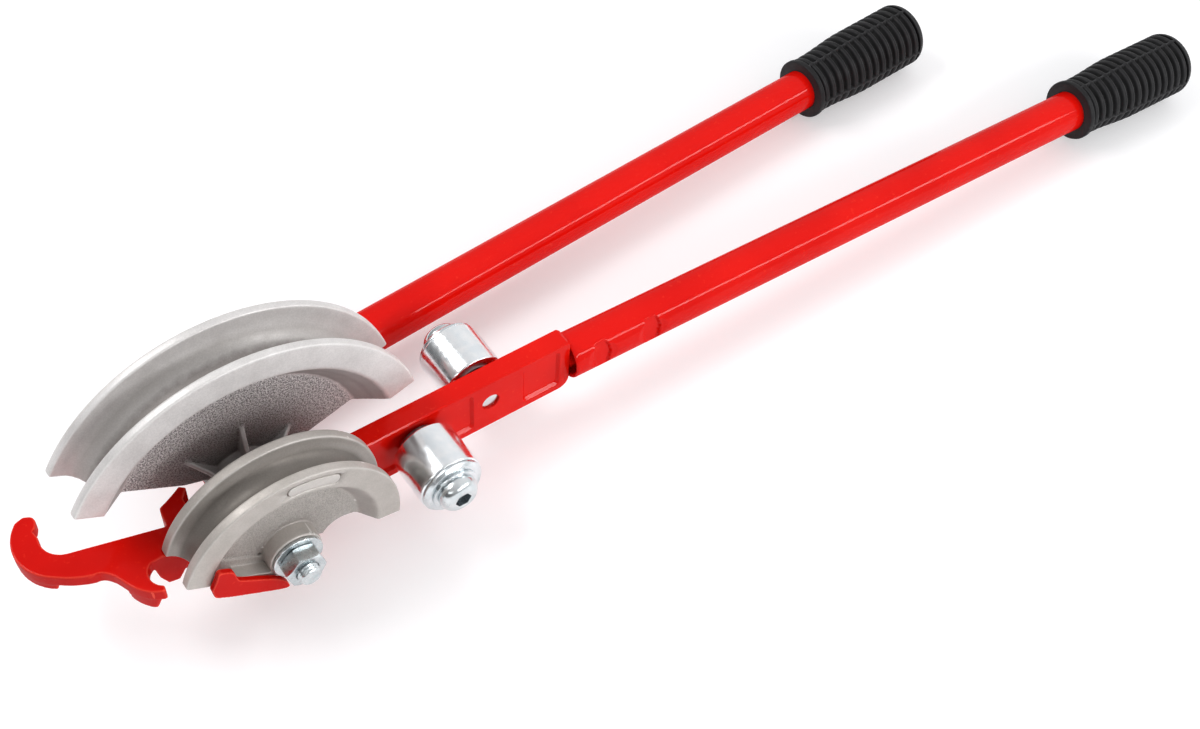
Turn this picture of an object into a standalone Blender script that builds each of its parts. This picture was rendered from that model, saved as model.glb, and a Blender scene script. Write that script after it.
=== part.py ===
"""A two-size pipe bender: a hook casting, two grooved formers, a lever with two rollers, and two handles.

Lengths are metres. X runs out along the handles, Y towards the large former, and Z up from the ground.
The origin is on the ground, straight below the pivot that all bending turns about.
"""

from math import cos, pi, radians, sin

import bmesh
import bpy
from mathutils import Matrix, Vector

MM = 0.001

# Driving dimensions of the whole tool
PIVOT_HEIGHT = 43.0 * MM
LARGE_PIPE_RADIUS = 11.0 * MM
SMALL_PIPE_RADIUS = 7.5 * MM
LARGE_BEND_RADIUS = 89.5 * MM
SMALL_BEND_RADIUS = 55.3 * MM
PIPE_CLEARANCE = 0.5 * MM

# Gaps between pieces that touch or run on each other
SEAT_GAP = 0.3 * MM
RUNNING_GAP = 0.1 * MM
OVERRUN = 2.0 * MM
MERGE = 0.001 * MM
WELD_REACH = 0.01 * MM

# Pivot bolt and the pieces clamped on it, from the large former's side to the small former's side
BOLT_RADIUS = 5.9 * MM
HEX_ACROSS_FLATS = 19.0 * MM
BOLT_HEAD_HEIGHT = 7.5 * MM
NUT_HEIGHT = 8.4 * MM
NUT_TURN = radians(-14)
BOLT_END = 4.2 * MM
HEX_CHAMFER = 1.3 * MM
WASHER_RADIUS = 13.2 * MM
WASHER_THICKNESS = 1.8 * MM
BUSH_RADIUS = 9.0 * MM

# Formers
FORMER_GAP_NEAR = -8.0 * MM
FORMER_GAP_FAR = 8.8 * MM
LARGE_RIM_LIP = 6.5 * MM
LARGE_SIDE_WALL = 4.675 * MM
LARGE_FACE_INSET = 9.0 * MM
LARGE_WEB_INSET = 24.5 * MM
LARGE_WEB_THICKNESS = 4.6 * MM
LARGE_HUB_RADIUS = 17.5 * MM
LARGE_CUT_DROP = 6.3 * MM
LARGE_RIGHT_DROP = 7.7 * MM
LARGE_RIGHT_ANGLE = radians(18.7)
SMALL_RIM_LIP = 2.2 * MM
SMALL_SIDE_WALL = 5.4 * MM
SMALL_FACE_INSET = 10.3 * MM
SMALL_WEB_INSET = 18.3 * MM
SMALL_WEB_THICKNESS = 9.0 * MM
SMALL_HUB_RADIUS = 14.0 * MM
SMALL_CUT_DROP = 14.2 * MM
SMALL_RIGHT_ANGLE = radians(-8.8)
CUT_ANGLE = radians(148)
GUSSET_REACH = 41.0 * MM
GUSSET_THICKNESS = 2.6 * MM
GUSSET_START = radians(32)
GUSSET_STEP = radians(50)
GUSSET_COUNT = 3
PAD_WIDTH = 6.4 * MM
PAD_HEIGHT = 0.6 * MM
PAD_START = radians(59)
PAD_END = radians(90)
EDGE_RIB_THICKNESS = 7.2 * MM
EDGE_RIB_REACH = 38.0 * MM
EDGE_RIB_HEIGHT = 8.6 * MM

# Hook casting
PLATE_TOP = 17.0 * MM
PLATE_THICKNESS = 7.5 * MM
SMALL_HOOK_DEPTH = 17.3 * MM
HOOK_RADIUS = 23.4 * MM
LARGE_THROAT_INSET = 1.0 * MM
BACK_BOSS_WIDTH = 8.0 * MM
BACK_BOSS_DEPTH = 11.5 * MM
BACK_BOSS_START = radians(172)
BACK_BOSS_END = radians(238)
SMALL_HOOK_SIZE = 14.0 * MM
SMALL_THROAT_STAND_OFF = 2.5 * MM
SMALL_THROAT_SHIFT = 2.4 * MM
EYE_RADIUS = 18.0 * MM
EYE_THICKNESS = 7.35 * MM
ARM_END = -45.0 * MM
ARM_NEAR = -11.8 * MM
ARM_FAR = 2.0 * MM
LUG_REACH = 17.5 * MM
LUG_DEPTH = 15.0 * MM
FLANGE_LUG_NEAR = -12.0 * MM
FLANGE_LUG_END = 56.0 * MM
FLANGE_LUG_START = 39.0 * MM
FLANGE_LUG_DEPTH = 18.7 * MM
FLANGE_LUG_KNUCKLE = 12.0 * MM
FLANGE_LUG_WIDTH = 7.0 * MM
TOE_FRONT = 3.7 * MM
TOE_LENGTH = 44.0 * MM
CROSSBAR_START = 28.0 * MM
CROSSBAR_END = 37.5 * MM
CROSSBAR_DEPTH = 4.5 * MM
FOOT_LEFT = -10.0 * MM
FOOT_RIGHT = 25.0 * MM
FOOT_NEAR = -9.5 * MM
FOOT_FAR = 80.0 * MM
CASTING_ROUND = 1.0 * MM
CASTING_STEP = 0.4 * MM

# Lever bar, in the closed position
BAR_THICKNESS = 11.8 * MM
BAR_TOP = 12.5 * MM
BAR_BOTTOM = -23.4 * MM
BAR_START = 20.0 * MM
BAR_END = 177.0 * MM
BAR_CORNER = 7.0 * MM
BAR_EYE_RADIUS = 17.5 * MM
BAR_EYE_NEAR = -0.05 * MM
PANEL_DEPTH = 1.0 * MM
PANEL_TOP = 8.6 * MM
PANEL_BOTTOM = -15.4 * MM
LEFT_PANEL_START = 30.0 * MM
LEFT_PANEL_END = 118.0 * MM
RIGHT_PANEL_LENGTH = 23.0 * MM
RIGHT_PANEL_MARGIN = 5.5 * MM

# Rollers and what holds each on its side of the bar
ROLLER_RADIUS = 17.5 * MM
ROLLER_LENGTH = 26.6 * MM
ROLLER_EDGE = 0.8 * MM
ROLLER_BUSH_RADIUS = 8.0 * MM
NEAR_ROLLER_X = 84.5 * MM
NEAR_ROLLER_Z = -3.5 * MM
FAR_ROLLER_X = 128.5 * MM
FAR_ROLLER_Z = -3.6 * MM
SPACER_RADIUS = 11.0 * MM
NEAR_SPACER_LENGTH = 5.0 * MM
FAR_SPACER_LENGTH = 2.9 * MM
RING_RADIUS = 16.8 * MM
RING_THICKNESS = 2.6 * MM
RING_BEVEL = 1.5 * MM
SCREW_WASHER_RADIUS = 12.8 * MM
SCREW_WASHER_THICKNESS = 1.2 * MM
SCREW_RADIUS = 4.9 * MM
SCREW_HEAD_RADIUS = 10.6 * MM
SCREW_HEAD_HEIGHT = 6.7 * MM
SCREW_SHORT_OF_FACE = 1.0 * MM
SOCKET_ACROSS_FLATS = 8.0 * MM
SOCKET_DEPTH = 4.0 * MM

# Handles
TUBE_RADIUS = 12.5 * MM
TUBE_WALL = 2.0 * MM
TUBE_LENGTH = 474.5 * MM
SPIGOT_LENGTH = 72.0 * MM
LEVER_TUBE_GAP = 1.5 * MM
LEVER_TUBE_Z = -6.2 * MM
LEVER_TUBE_DROP = radians(2.0)
FIXED_TUBE_START = 49.5 * MM
FIXED_TUBE_Y = 75.4 * MM
FIXED_TUBE_Z = -18.8 * MM
FIXED_TUBE_SPLAY = radians(4.67)
FIXED_TUBE_DROP = radians(0.44)
FIXED_BOSS_RADIUS = 13.5 * MM
CRIMP_RADIUS = 8.5 * MM
CRIMP_DEPTH = 2.4 * MM
FIRST_CRIMP = 27.0 * MM
SECOND_CRIMP = 64.0 * MM
GRIP_LENGTH = 97.0 * MM
GRIP_REACH = 5.0 * MM
GRIP_RIM_RADIUS = 19.0 * MM
GRIP_RIM_LENGTH = 3.6 * MM
GRIP_WAIST_RADIUS = 18.2 * MM
GRIP_FULL_RADIUS = 20.4 * MM
GRIP_GROOVE = 1.9 * MM
GRIP_END_ROUND = 9.0 * MM
GRIP_RIBS = 14

# Facets round each kind of turned piece
FINE_STEPS = 36
MEDIUM_STEPS = 28
SMALL_STEPS = 20
GROOVE_STEPS = 10
FORMER_STEP = radians(5)

# Places worked out from the values above
LARGE_GROOVE = LARGE_PIPE_RADIUS + PIPE_CLEARANCE
SMALL_GROOVE = SMALL_PIPE_RADIUS + PIPE_CLEARANCE
LARGE_RIM_RADIUS = LARGE_BEND_RADIUS + LARGE_RIM_LIP
LARGE_RIM_WIDTH = (LARGE_GROOVE + LARGE_SIDE_WALL) * 2
LARGE_RIM_FACE_RADIUS = LARGE_BEND_RADIUS - LARGE_FACE_INSET
LARGE_WEB_RADIUS = LARGE_BEND_RADIUS - LARGE_WEB_INSET
SMALL_RIM_RADIUS = SMALL_BEND_RADIUS + SMALL_RIM_LIP
SMALL_RIM_WIDTH = (SMALL_GROOVE + SMALL_SIDE_WALL) * 2
SMALL_RIM_FACE_RADIUS = SMALL_BEND_RADIUS - SMALL_FACE_INSET
SMALL_WEB_RADIUS = SMALL_BEND_RADIUS - SMALL_WEB_INSET
CRIMP_PLACES = (FIRST_CRIMP, SECOND_CRIMP)
LEVER_TUBE_START = BAR_END + LEVER_TUBE_GAP
RIGHT_PANEL_END = BAR_END - RIGHT_PANEL_MARGIN
RIGHT_PANEL_START = RIGHT_PANEL_END - RIGHT_PANEL_LENGTH
LARGE_CENTRE_Y = FORMER_GAP_FAR + LARGE_RIM_WIDTH / 2
SMALL_CENTRE_Y = FORMER_GAP_NEAR - SMALL_RIM_WIDTH / 2
LARGE_FAR_Y = FORMER_GAP_FAR + LARGE_RIM_WIDTH
SMALL_NEAR_Y = FORMER_GAP_NEAR - SMALL_RIM_WIDTH
BOLT_BORE = BOLT_RADIUS + SEAT_GAP
EYE_NEAR = FORMER_GAP_NEAR + 2 * SEAT_GAP
EYE_FAR = EYE_NEAR + EYE_THICKNESS - SEAT_GAP
LARGE_HOOK = (-LARGE_BEND_RADIUS, LARGE_CENTRE_Y)
LARGE_THROAT = (LARGE_THROAT_INSET - LARGE_BEND_RADIUS, LARGE_CENTRE_Y)
SMALL_THROAT = (-SMALL_BEND_RADIUS - SMALL_THROAT_STAND_OFF, SMALL_CENTRE_Y + SMALL_THROAT_SHIFT)
INSIDE_PLATE = PLATE_TOP - PLATE_THICKNESS / 2
FOOT_TOP = BAR_BOTTOM - SEAT_GAP
SPIGOT_RADIUS = TUBE_RADIUS - TUBE_WALL - SEAT_GAP


def clear_scene():
    for item in list(bpy.data.objects):
        bpy.data.objects.remove(item, do_unlink=True)


def material(name, colour, roughness, metallic=0.0):
    made = bpy.data.materials.new(name)
    made.use_nodes = True
    shader = made.node_tree.nodes["Principled BSDF"]
    shader.inputs["Base Color"].default_value = (*colour, 1.0)
    shader.inputs["Roughness"].default_value = roughness
    shader.inputs["Metallic"].default_value = metallic
    return made


def empty(name, location, parent=None):
    made = bpy.data.objects.new(name, None)
    made.location = location
    made.parent = parent
    bpy.context.collection.objects.link(made)
    return made


def finished(name, shape, look, parent, matrix=None):
    """Turns a bmesh into an object with its normals out, carried by parent."""
    bmesh.ops.remove_doubles(shape, verts=shape.verts, dist=MERGE)
    bmesh.ops.recalc_face_normals(shape, faces=shape.faces)
    if matrix is not None:
        bmesh.ops.transform(shape, matrix=matrix, verts=shape.verts)
    mesh = bpy.data.meshes.new(name)
    shape.to_mesh(mesh)
    shape.free()
    mesh.shade_smooth()
    mesh.set_sharp_from_angle(angle=radians(32))
    if look is not None:
        mesh.materials.append(look)
    made = bpy.data.objects.new(name, mesh)
    made.parent = parent
    bpy.context.collection.objects.link(made)
    return made


def helper(made):
    made.hide_render = True
    made.display_type = "WIRE"
    return made


def combine(target, tool, operation):
    """Joins a helper to the target, cuts it out, or keeps only what they share."""
    helper(tool)
    step = target.modifiers.new(operation.lower() + "_" + tool.name, "BOOLEAN")
    step.operation = operation
    step.solver = "EXACT"
    step.object = tool


def weld(target):
    """Closes the hairline edges that a row of Booleans can leave."""
    step = target.modifiers.new("weld", "WELD")
    step.merge_threshold = WELD_REACH


def bevel(target, width, angle=radians(40)):
    step = target.modifiers.new("edges", "BEVEL")
    step.width = width
    step.segments = 1
    step.limit_method = "ANGLE"
    step.angle_limit = angle


def turned(outline, steps):
    """Spins (radius, place) points about Y. An outline that stays off the axis closes round a bore."""
    shape = bmesh.new()
    corners = [shape.verts.new((radius, place, 0)) for radius, place in outline]
    edges = [shape.edges.new(pair) for pair in zip(corners, corners[1:])]
    if outline[0][0] > 0:
        edges.append(shape.edges.new((corners[-1], corners[0])))
    bmesh.ops.spin(
        shape, geom=corners + edges, cent=(0, 0, 0), axis=(0, 1, 0), angle=2 * pi, steps=steps
    )
    return shape


def arc_swept(outline, start, end):
    """Sweeps a closed (radius, place) section about Y between two angles above +X, with flat ends."""
    shape = bmesh.new()
    across = cos(start)
    up = sin(start)
    corners = [shape.verts.new((radius * across, place, radius * up)) for radius, place in outline]
    edges = [shape.edges.new(pair) for pair in zip(corners, corners[1:] + corners[:1])]
    steps = round((end - start) / FORMER_STEP)
    bmesh.ops.spin(
        shape, geom=corners + edges, cent=(0, 0, 0), axis=(0, -1, 0), angle=end - start, steps=steps
    )
    bmesh.ops.remove_doubles(shape, verts=shape.verts, dist=MERGE)
    open_edges = [edge for edge in shape.edges if edge.is_boundary]
    bmesh.ops.holes_fill(shape, edges=open_edges, sides=0)
    return shape


def prism(outline, low, high, across="Y"):
    """Extrudes an outline: (x, z) points across Y, or (x, y) points across Z."""
    shape = bmesh.new()
    if across == "Y":
        corners = [shape.verts.new((first, low, second)) for first, second in outline]
        travel = Vector((0, high - low, 0))
    else:
        corners = [shape.verts.new((first, second, low)) for first, second in outline]
        travel = Vector((0, 0, high - low))
    face = shape.faces.new(corners)
    grown = bmesh.ops.extrude_face_region(shape, geom=[face])["geom"]
    moved = [item for item in grown if isinstance(item, bmesh.types.BMVert)]
    bmesh.ops.translate(shape, vec=travel, verts=moved)
    return shape


def tapered(low_outline, high_outline, low, high):
    """A solid between two (x, y) outlines with the same number of points, at two heights."""
    shape = bmesh.new()
    bottom = [shape.verts.new((x, y, low)) for x, y in low_outline]
    top = [shape.verts.new((x, y, high)) for x, y in high_outline]
    shape.faces.new(bottom)
    shape.faces.new(top)
    for index, corner in enumerate(bottom):
        shape.faces.new((bottom[index - 1], corner, top[index]))
        shape.faces.new((bottom[index - 1], top[index], top[index - 1]))
    return shape


def block(low, high):
    """A box between two corners."""
    outline = [(low[0], low[2]), (high[0], low[2]), (high[0], high[2]), (low[0], high[2])]
    return prism(outline, low[1], high[1])


def arc(centre, radius, start, end, steps):
    """Points along an arc, both ends included."""
    angles = [start + (end - start) * step / steps for step in range(steps + 1)]
    return [(centre[0] + radius * cos(angle), centre[1] + radius * sin(angle)) for angle in angles]


def hexagon(across_flats):
    corner_radius = across_flats / 2 / cos(pi / 6)
    return arc((0, 0), corner_radius, 0, 5 * pi / 3, 5)


def along_cut(reach, rise):
    """A point given along and square to the line that both formers' left ends are cut on."""
    return (
        reach * cos(CUT_ANGLE) + rise * sin(CUT_ANGLE),
        reach * sin(CUT_ANGLE) - rise * cos(CUT_ANGLE),
    )


def disc(radius, low, high, steps, bore=0.0, chamfer=0.0):
    """A washer, bush or pin outline between two places along Y, with an optional chamfer at both rims."""
    rim = [(radius, low + chamfer), (radius, high - chamfer)]
    if chamfer > 0:
        rim = [(radius - chamfer, low)] + rim + [(radius - chamfer, high)]
    return turned([(bore, low)] + rim + [(bore, high)], steps)


def former_section(rim, face, web, width, web_thickness, hub, groove, groove_centre, middle):
    """The section of a cored former: grooved rim, sloping inner walls and a thin web down into the hub."""
    half = width / 2
    half_web = web_thickness / 2
    round_bottom = arc((groove_centre, middle), groove, pi / 2, 3 * pi / 2, GROOVE_STEPS)
    far_side = [
        (hub, middle + half_web), (web, middle + half_web), (face, middle + half), (rim, middle + half),
    ]
    near_side = [
        (rim, middle - half), (face, middle - half), (web, middle - half_web), (hub, middle - half_web),
    ]
    return far_side + [(rim, middle + groove)] + round_bottom + [(rim, middle - groove)] + near_side


def large_former(look, parent):
    inside_hub = (BOLT_BORE + LARGE_HUB_RADIUS) / 2
    section = former_section(
        LARGE_RIM_RADIUS, LARGE_RIM_FACE_RADIUS, LARGE_WEB_RADIUS, LARGE_RIM_WIDTH, LARGE_WEB_THICKNESS,
        inside_hub, LARGE_GROOVE, LARGE_BEND_RADIUS, LARGE_CENTRE_Y,
    )
    made = finished("large_former", arc_swept(section, radians(5), radians(160)), look, parent)

    # The two cuts that leave a sector, both passing below the hub's middle
    reach = LARGE_RIM_RADIUS * 2
    right_foot = LARGE_RIGHT_DROP / cos(LARGE_RIGHT_ANGLE)
    right_far = (reach * cos(LARGE_RIGHT_ANGLE), reach * sin(LARGE_RIGHT_ANGLE) - right_foot)
    wedge = [
        (0, -right_foot), right_far, (reach, reach), (-reach, reach),
        along_cut(reach, -LARGE_CUT_DROP), along_cut(0, -LARGE_CUT_DROP),
    ]
    near = FORMER_GAP_FAR - OVERRUN
    far = LARGE_FAR_Y + OVERRUN
    combine(made, finished("large_sector", prism(wedge, near, far), None, parent), "INTERSECT")

    hub = disc(LARGE_HUB_RADIUS, FORMER_GAP_FAR, LARGE_FAR_Y, FINE_STEPS)
    combine(made, finished("large_hub", hub, None, parent), "UNION")
    web_near = LARGE_CENTRE_Y - LARGE_WEB_THICKNESS / 2
    hub_root = LARGE_HUB_RADIUS - OVERRUN
    buried = LARGE_CENTRE_Y
    ridge = [
        (hub_root, FORMER_GAP_FAR + OVERRUN), (LARGE_HUB_RADIUS, FORMER_GAP_FAR + OVERRUN),
        (GUSSET_REACH, web_near), (GUSSET_REACH, buried), (hub_root, buried),
    ]
    for index in range(GUSSET_COUNT):
        shape = prism(ridge, -GUSSET_THICKNESS / 2, GUSSET_THICKNESS / 2, across="Z")
        turn = Matrix.Rotation(-(GUSSET_START + GUSSET_STEP * index), 4, "Y")
        combine(made, finished(f"gusset_{index}", shape, None, parent, turn), "UNION")
    bore = disc(BOLT_BORE, near, far, SMALL_STEPS)
    combine(made, finished("large_bore", bore, None, parent), "DIFFERENCE")
    weld(made)


def small_former(look, parent):
    inside_hub = (BOLT_BORE + SMALL_HUB_RADIUS) / 2
    section = former_section(
        SMALL_RIM_RADIUS, SMALL_RIM_FACE_RADIUS, SMALL_WEB_RADIUS, SMALL_RIM_WIDTH, SMALL_WEB_THICKNESS,
        inside_hub, SMALL_GROOVE, SMALL_BEND_RADIUS, SMALL_CENTRE_Y,
    )
    made = finished("small_former", arc_swept(section, radians(-25), radians(170)), look, parent)

    # The sector, with the web's hollow edge between the right end and the hub
    reach = SMALL_RIM_RADIUS * 2
    across = cos(SMALL_RIGHT_ANGLE)
    up = sin(SMALL_RIGHT_ANGLE)
    right_face = (SMALL_RIM_FACE_RADIUS * across, SMALL_RIM_FACE_RADIUS * up)
    right_far = (reach * across, reach * up)
    hollow_shares = [(0.27, -0.25), (0.30, -0.19), (0.37, -0.095), (0.49, -0.05), (0.61, -0.075)]
    hollow = placed_shares((0, 0), SMALL_RIM_RADIUS, hollow_shares)
    wedge = hollow + [
        right_face, right_far, (reach, reach), (-reach, reach),
        along_cut(reach, -SMALL_CUT_DROP), along_cut(0, -SMALL_CUT_DROP),
    ]
    near = SMALL_NEAR_Y - OVERRUN
    far = FORMER_GAP_NEAR + OVERRUN
    combine(made, finished("small_sector", prism(wedge, near, far), None, parent), "INTERSECT")

    hub = disc(SMALL_HUB_RADIUS, SMALL_NEAR_Y, FORMER_GAP_NEAR, FINE_STEPS)
    combine(made, finished("small_hub", hub, None, parent), "UNION")

    # The stiffening rib along the cut edge of the web
    web_near = SMALL_CENTRE_Y - SMALL_WEB_THICKNESS / 2
    rib_low = SEAT_GAP - SMALL_CUT_DROP
    rib_top = rib_low + EDGE_RIB_THICKNESS
    rib = [
        along_cut(0, rib_low), along_cut(EDGE_RIB_REACH, rib_low),
        along_cut(EDGE_RIB_REACH, rib_top), along_cut(0, rib_top),
    ]
    shape = prism(rib, web_near - EDGE_RIB_HEIGHT, SMALL_CENTRE_Y)
    combine(made, finished("edge_rib", shape, None, parent), "UNION")

    # The bare pad on the near face of the rim
    middle = (SMALL_RIM_RADIUS + SMALL_RIM_FACE_RADIUS) / 2
    half = PAD_WIDTH / 2
    first_end = (middle * cos(PAD_START), middle * sin(PAD_START))
    last_end = (middle * cos(PAD_END), middle * sin(PAD_END))
    pad = (
        arc((0, 0), middle + half, PAD_START, PAD_END, 6)
        + arc(last_end, half, PAD_END, PAD_END + pi, 6)[1:-1]
        + arc((0, 0), middle - half, PAD_END, PAD_START, 6)
        + arc(first_end, half, PAD_START + pi, PAD_START + 2 * pi, 6)[1:-1]
    )
    shape = prism(pad, SMALL_NEAR_Y - PAD_HEIGHT, SMALL_NEAR_Y + OVERRUN)
    combine(made, finished("size_pad", shape, None, parent), "UNION")
    bore = disc(BOLT_BORE, near, far, SMALL_STEPS)
    combine(made, finished("small_bore", bore, None, parent), "DIFFERENCE")
    weld(made)


def placed_shares(centre, size, shares):
    """Outline points given as shares of a size from a centre."""
    return [(centre[0] + size * across, centre[1] + size * along) for across, along in shares]


def between(first, last, shares):
    """Outline points given as shares of the way across and along from one point to another."""
    return [
        (first[0] + (last[0] - first[0]) * across, first[1] + (last[1] - first[1]) * along)
        for across, along in shares
    ]


def hook_outline():
    """The plate seen from above: large hook, near edge, small hook and the arm back towards the pivot."""
    tip_shares = [(-0.42, 0.39), (-0.355, 0.47), (-0.30, 0.59), (-0.34, 0.72), (-0.49, 0.79)]
    near_edge_shares = [(0.32, 0.39), (0.645, 0.65), (0.857, 0.74)]
    small_back_shares = [
        (-1.54, 0.76), (-1.41, 0.50), (-1.16, -0.04), (-0.80, -0.48), (-0.43, -0.69), (-0.31, -0.67),
    ]
    tip = placed_shares(LARGE_HOOK, HOOK_RADIUS, tip_shares)
    large_back = arc(LARGE_HOOK, HOOK_RADIUS, radians(128), radians(232), 8)
    small_back = placed_shares(SMALL_THROAT, SMALL_HOOK_SIZE, small_back_shares)
    near_edge = between(large_back[-1], small_back[0], near_edge_shares)
    small_throat = arc(SMALL_THROAT, SMALL_GROOVE, radians(240), radians(115), 7)
    clear_of_flange = along_cut(FLANGE_LUG_END, -SMALL_CUT_DROP - SEAT_GAP)[0]
    arm = [
        (clear_of_flange, ARM_NEAR), (clear_of_flange, EYE_NEAR), (ARM_END, EYE_NEAR), (ARM_END, ARM_FAR),
    ]
    large_throat = arc(LARGE_THROAT, LARGE_GROOVE, radians(256), radians(160), 8)
    return tip + large_back + near_edge + small_back + small_throat + arm + large_throat


def back_boss_outline():
    """The thickened band under the large hook's back, seen from above."""
    outer = arc(LARGE_HOOK, HOOK_RADIUS - 2 * CASTING_STEP, BACK_BOSS_START, BACK_BOSS_END, 6)
    inner = arc(LARGE_HOOK, HOOK_RADIUS - BACK_BOSS_WIDTH, BACK_BOSS_END, BACK_BOSS_START, 6)
    return outer + inner


def deep_hook():
    """The deep end of the small hook, which narrows downwards."""
    low_shares = [
        (-1.21, 0.34), (-1.04, -0.02), (-0.80, -0.33), (-0.64, -0.39),
        (-0.60, -0.18), (-0.68, 0.14), (-0.84, 0.39),
    ]
    high_shares = [
        (-1.385, 0.50), (-1.13, -0.03), (-0.79, -0.44), (-0.415, -0.645),
        (-0.37, -0.475), (-0.59, 0.07), (-0.64, 0.43),
    ]
    low_outline = placed_shares(SMALL_THROAT, SMALL_HOOK_SIZE, low_shares)
    high_outline = placed_shares(SMALL_THROAT, SMALL_HOOK_SIZE, high_shares)
    return tapered(low_outline, high_outline, PLATE_TOP - SMALL_HOOK_DEPTH, INSIDE_PLATE)


def handle_frame(start_x, start_y, start_z, splay, drop):
    """Takes a piece turned about Y, growing towards +Y, onto a handle's axis that leaves along +X."""
    place = Matrix.Translation((start_x, start_y, start_z))
    aim = Matrix.Rotation(splay, 4, "Z") @ Matrix.Rotation(drop, 4, "Y")
    return place @ aim @ Matrix.Rotation(-pi / 2, 4, "Z")


def fixed_frame():
    return handle_frame(FIXED_TUBE_START, FIXED_TUBE_Y, FIXED_TUBE_Z, FIXED_TUBE_SPLAY, FIXED_TUBE_DROP)


def lever_frame():
    return handle_frame(LEVER_TUBE_START, 0, LEVER_TUBE_Z, 0, LEVER_TUBE_DROP)


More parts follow.
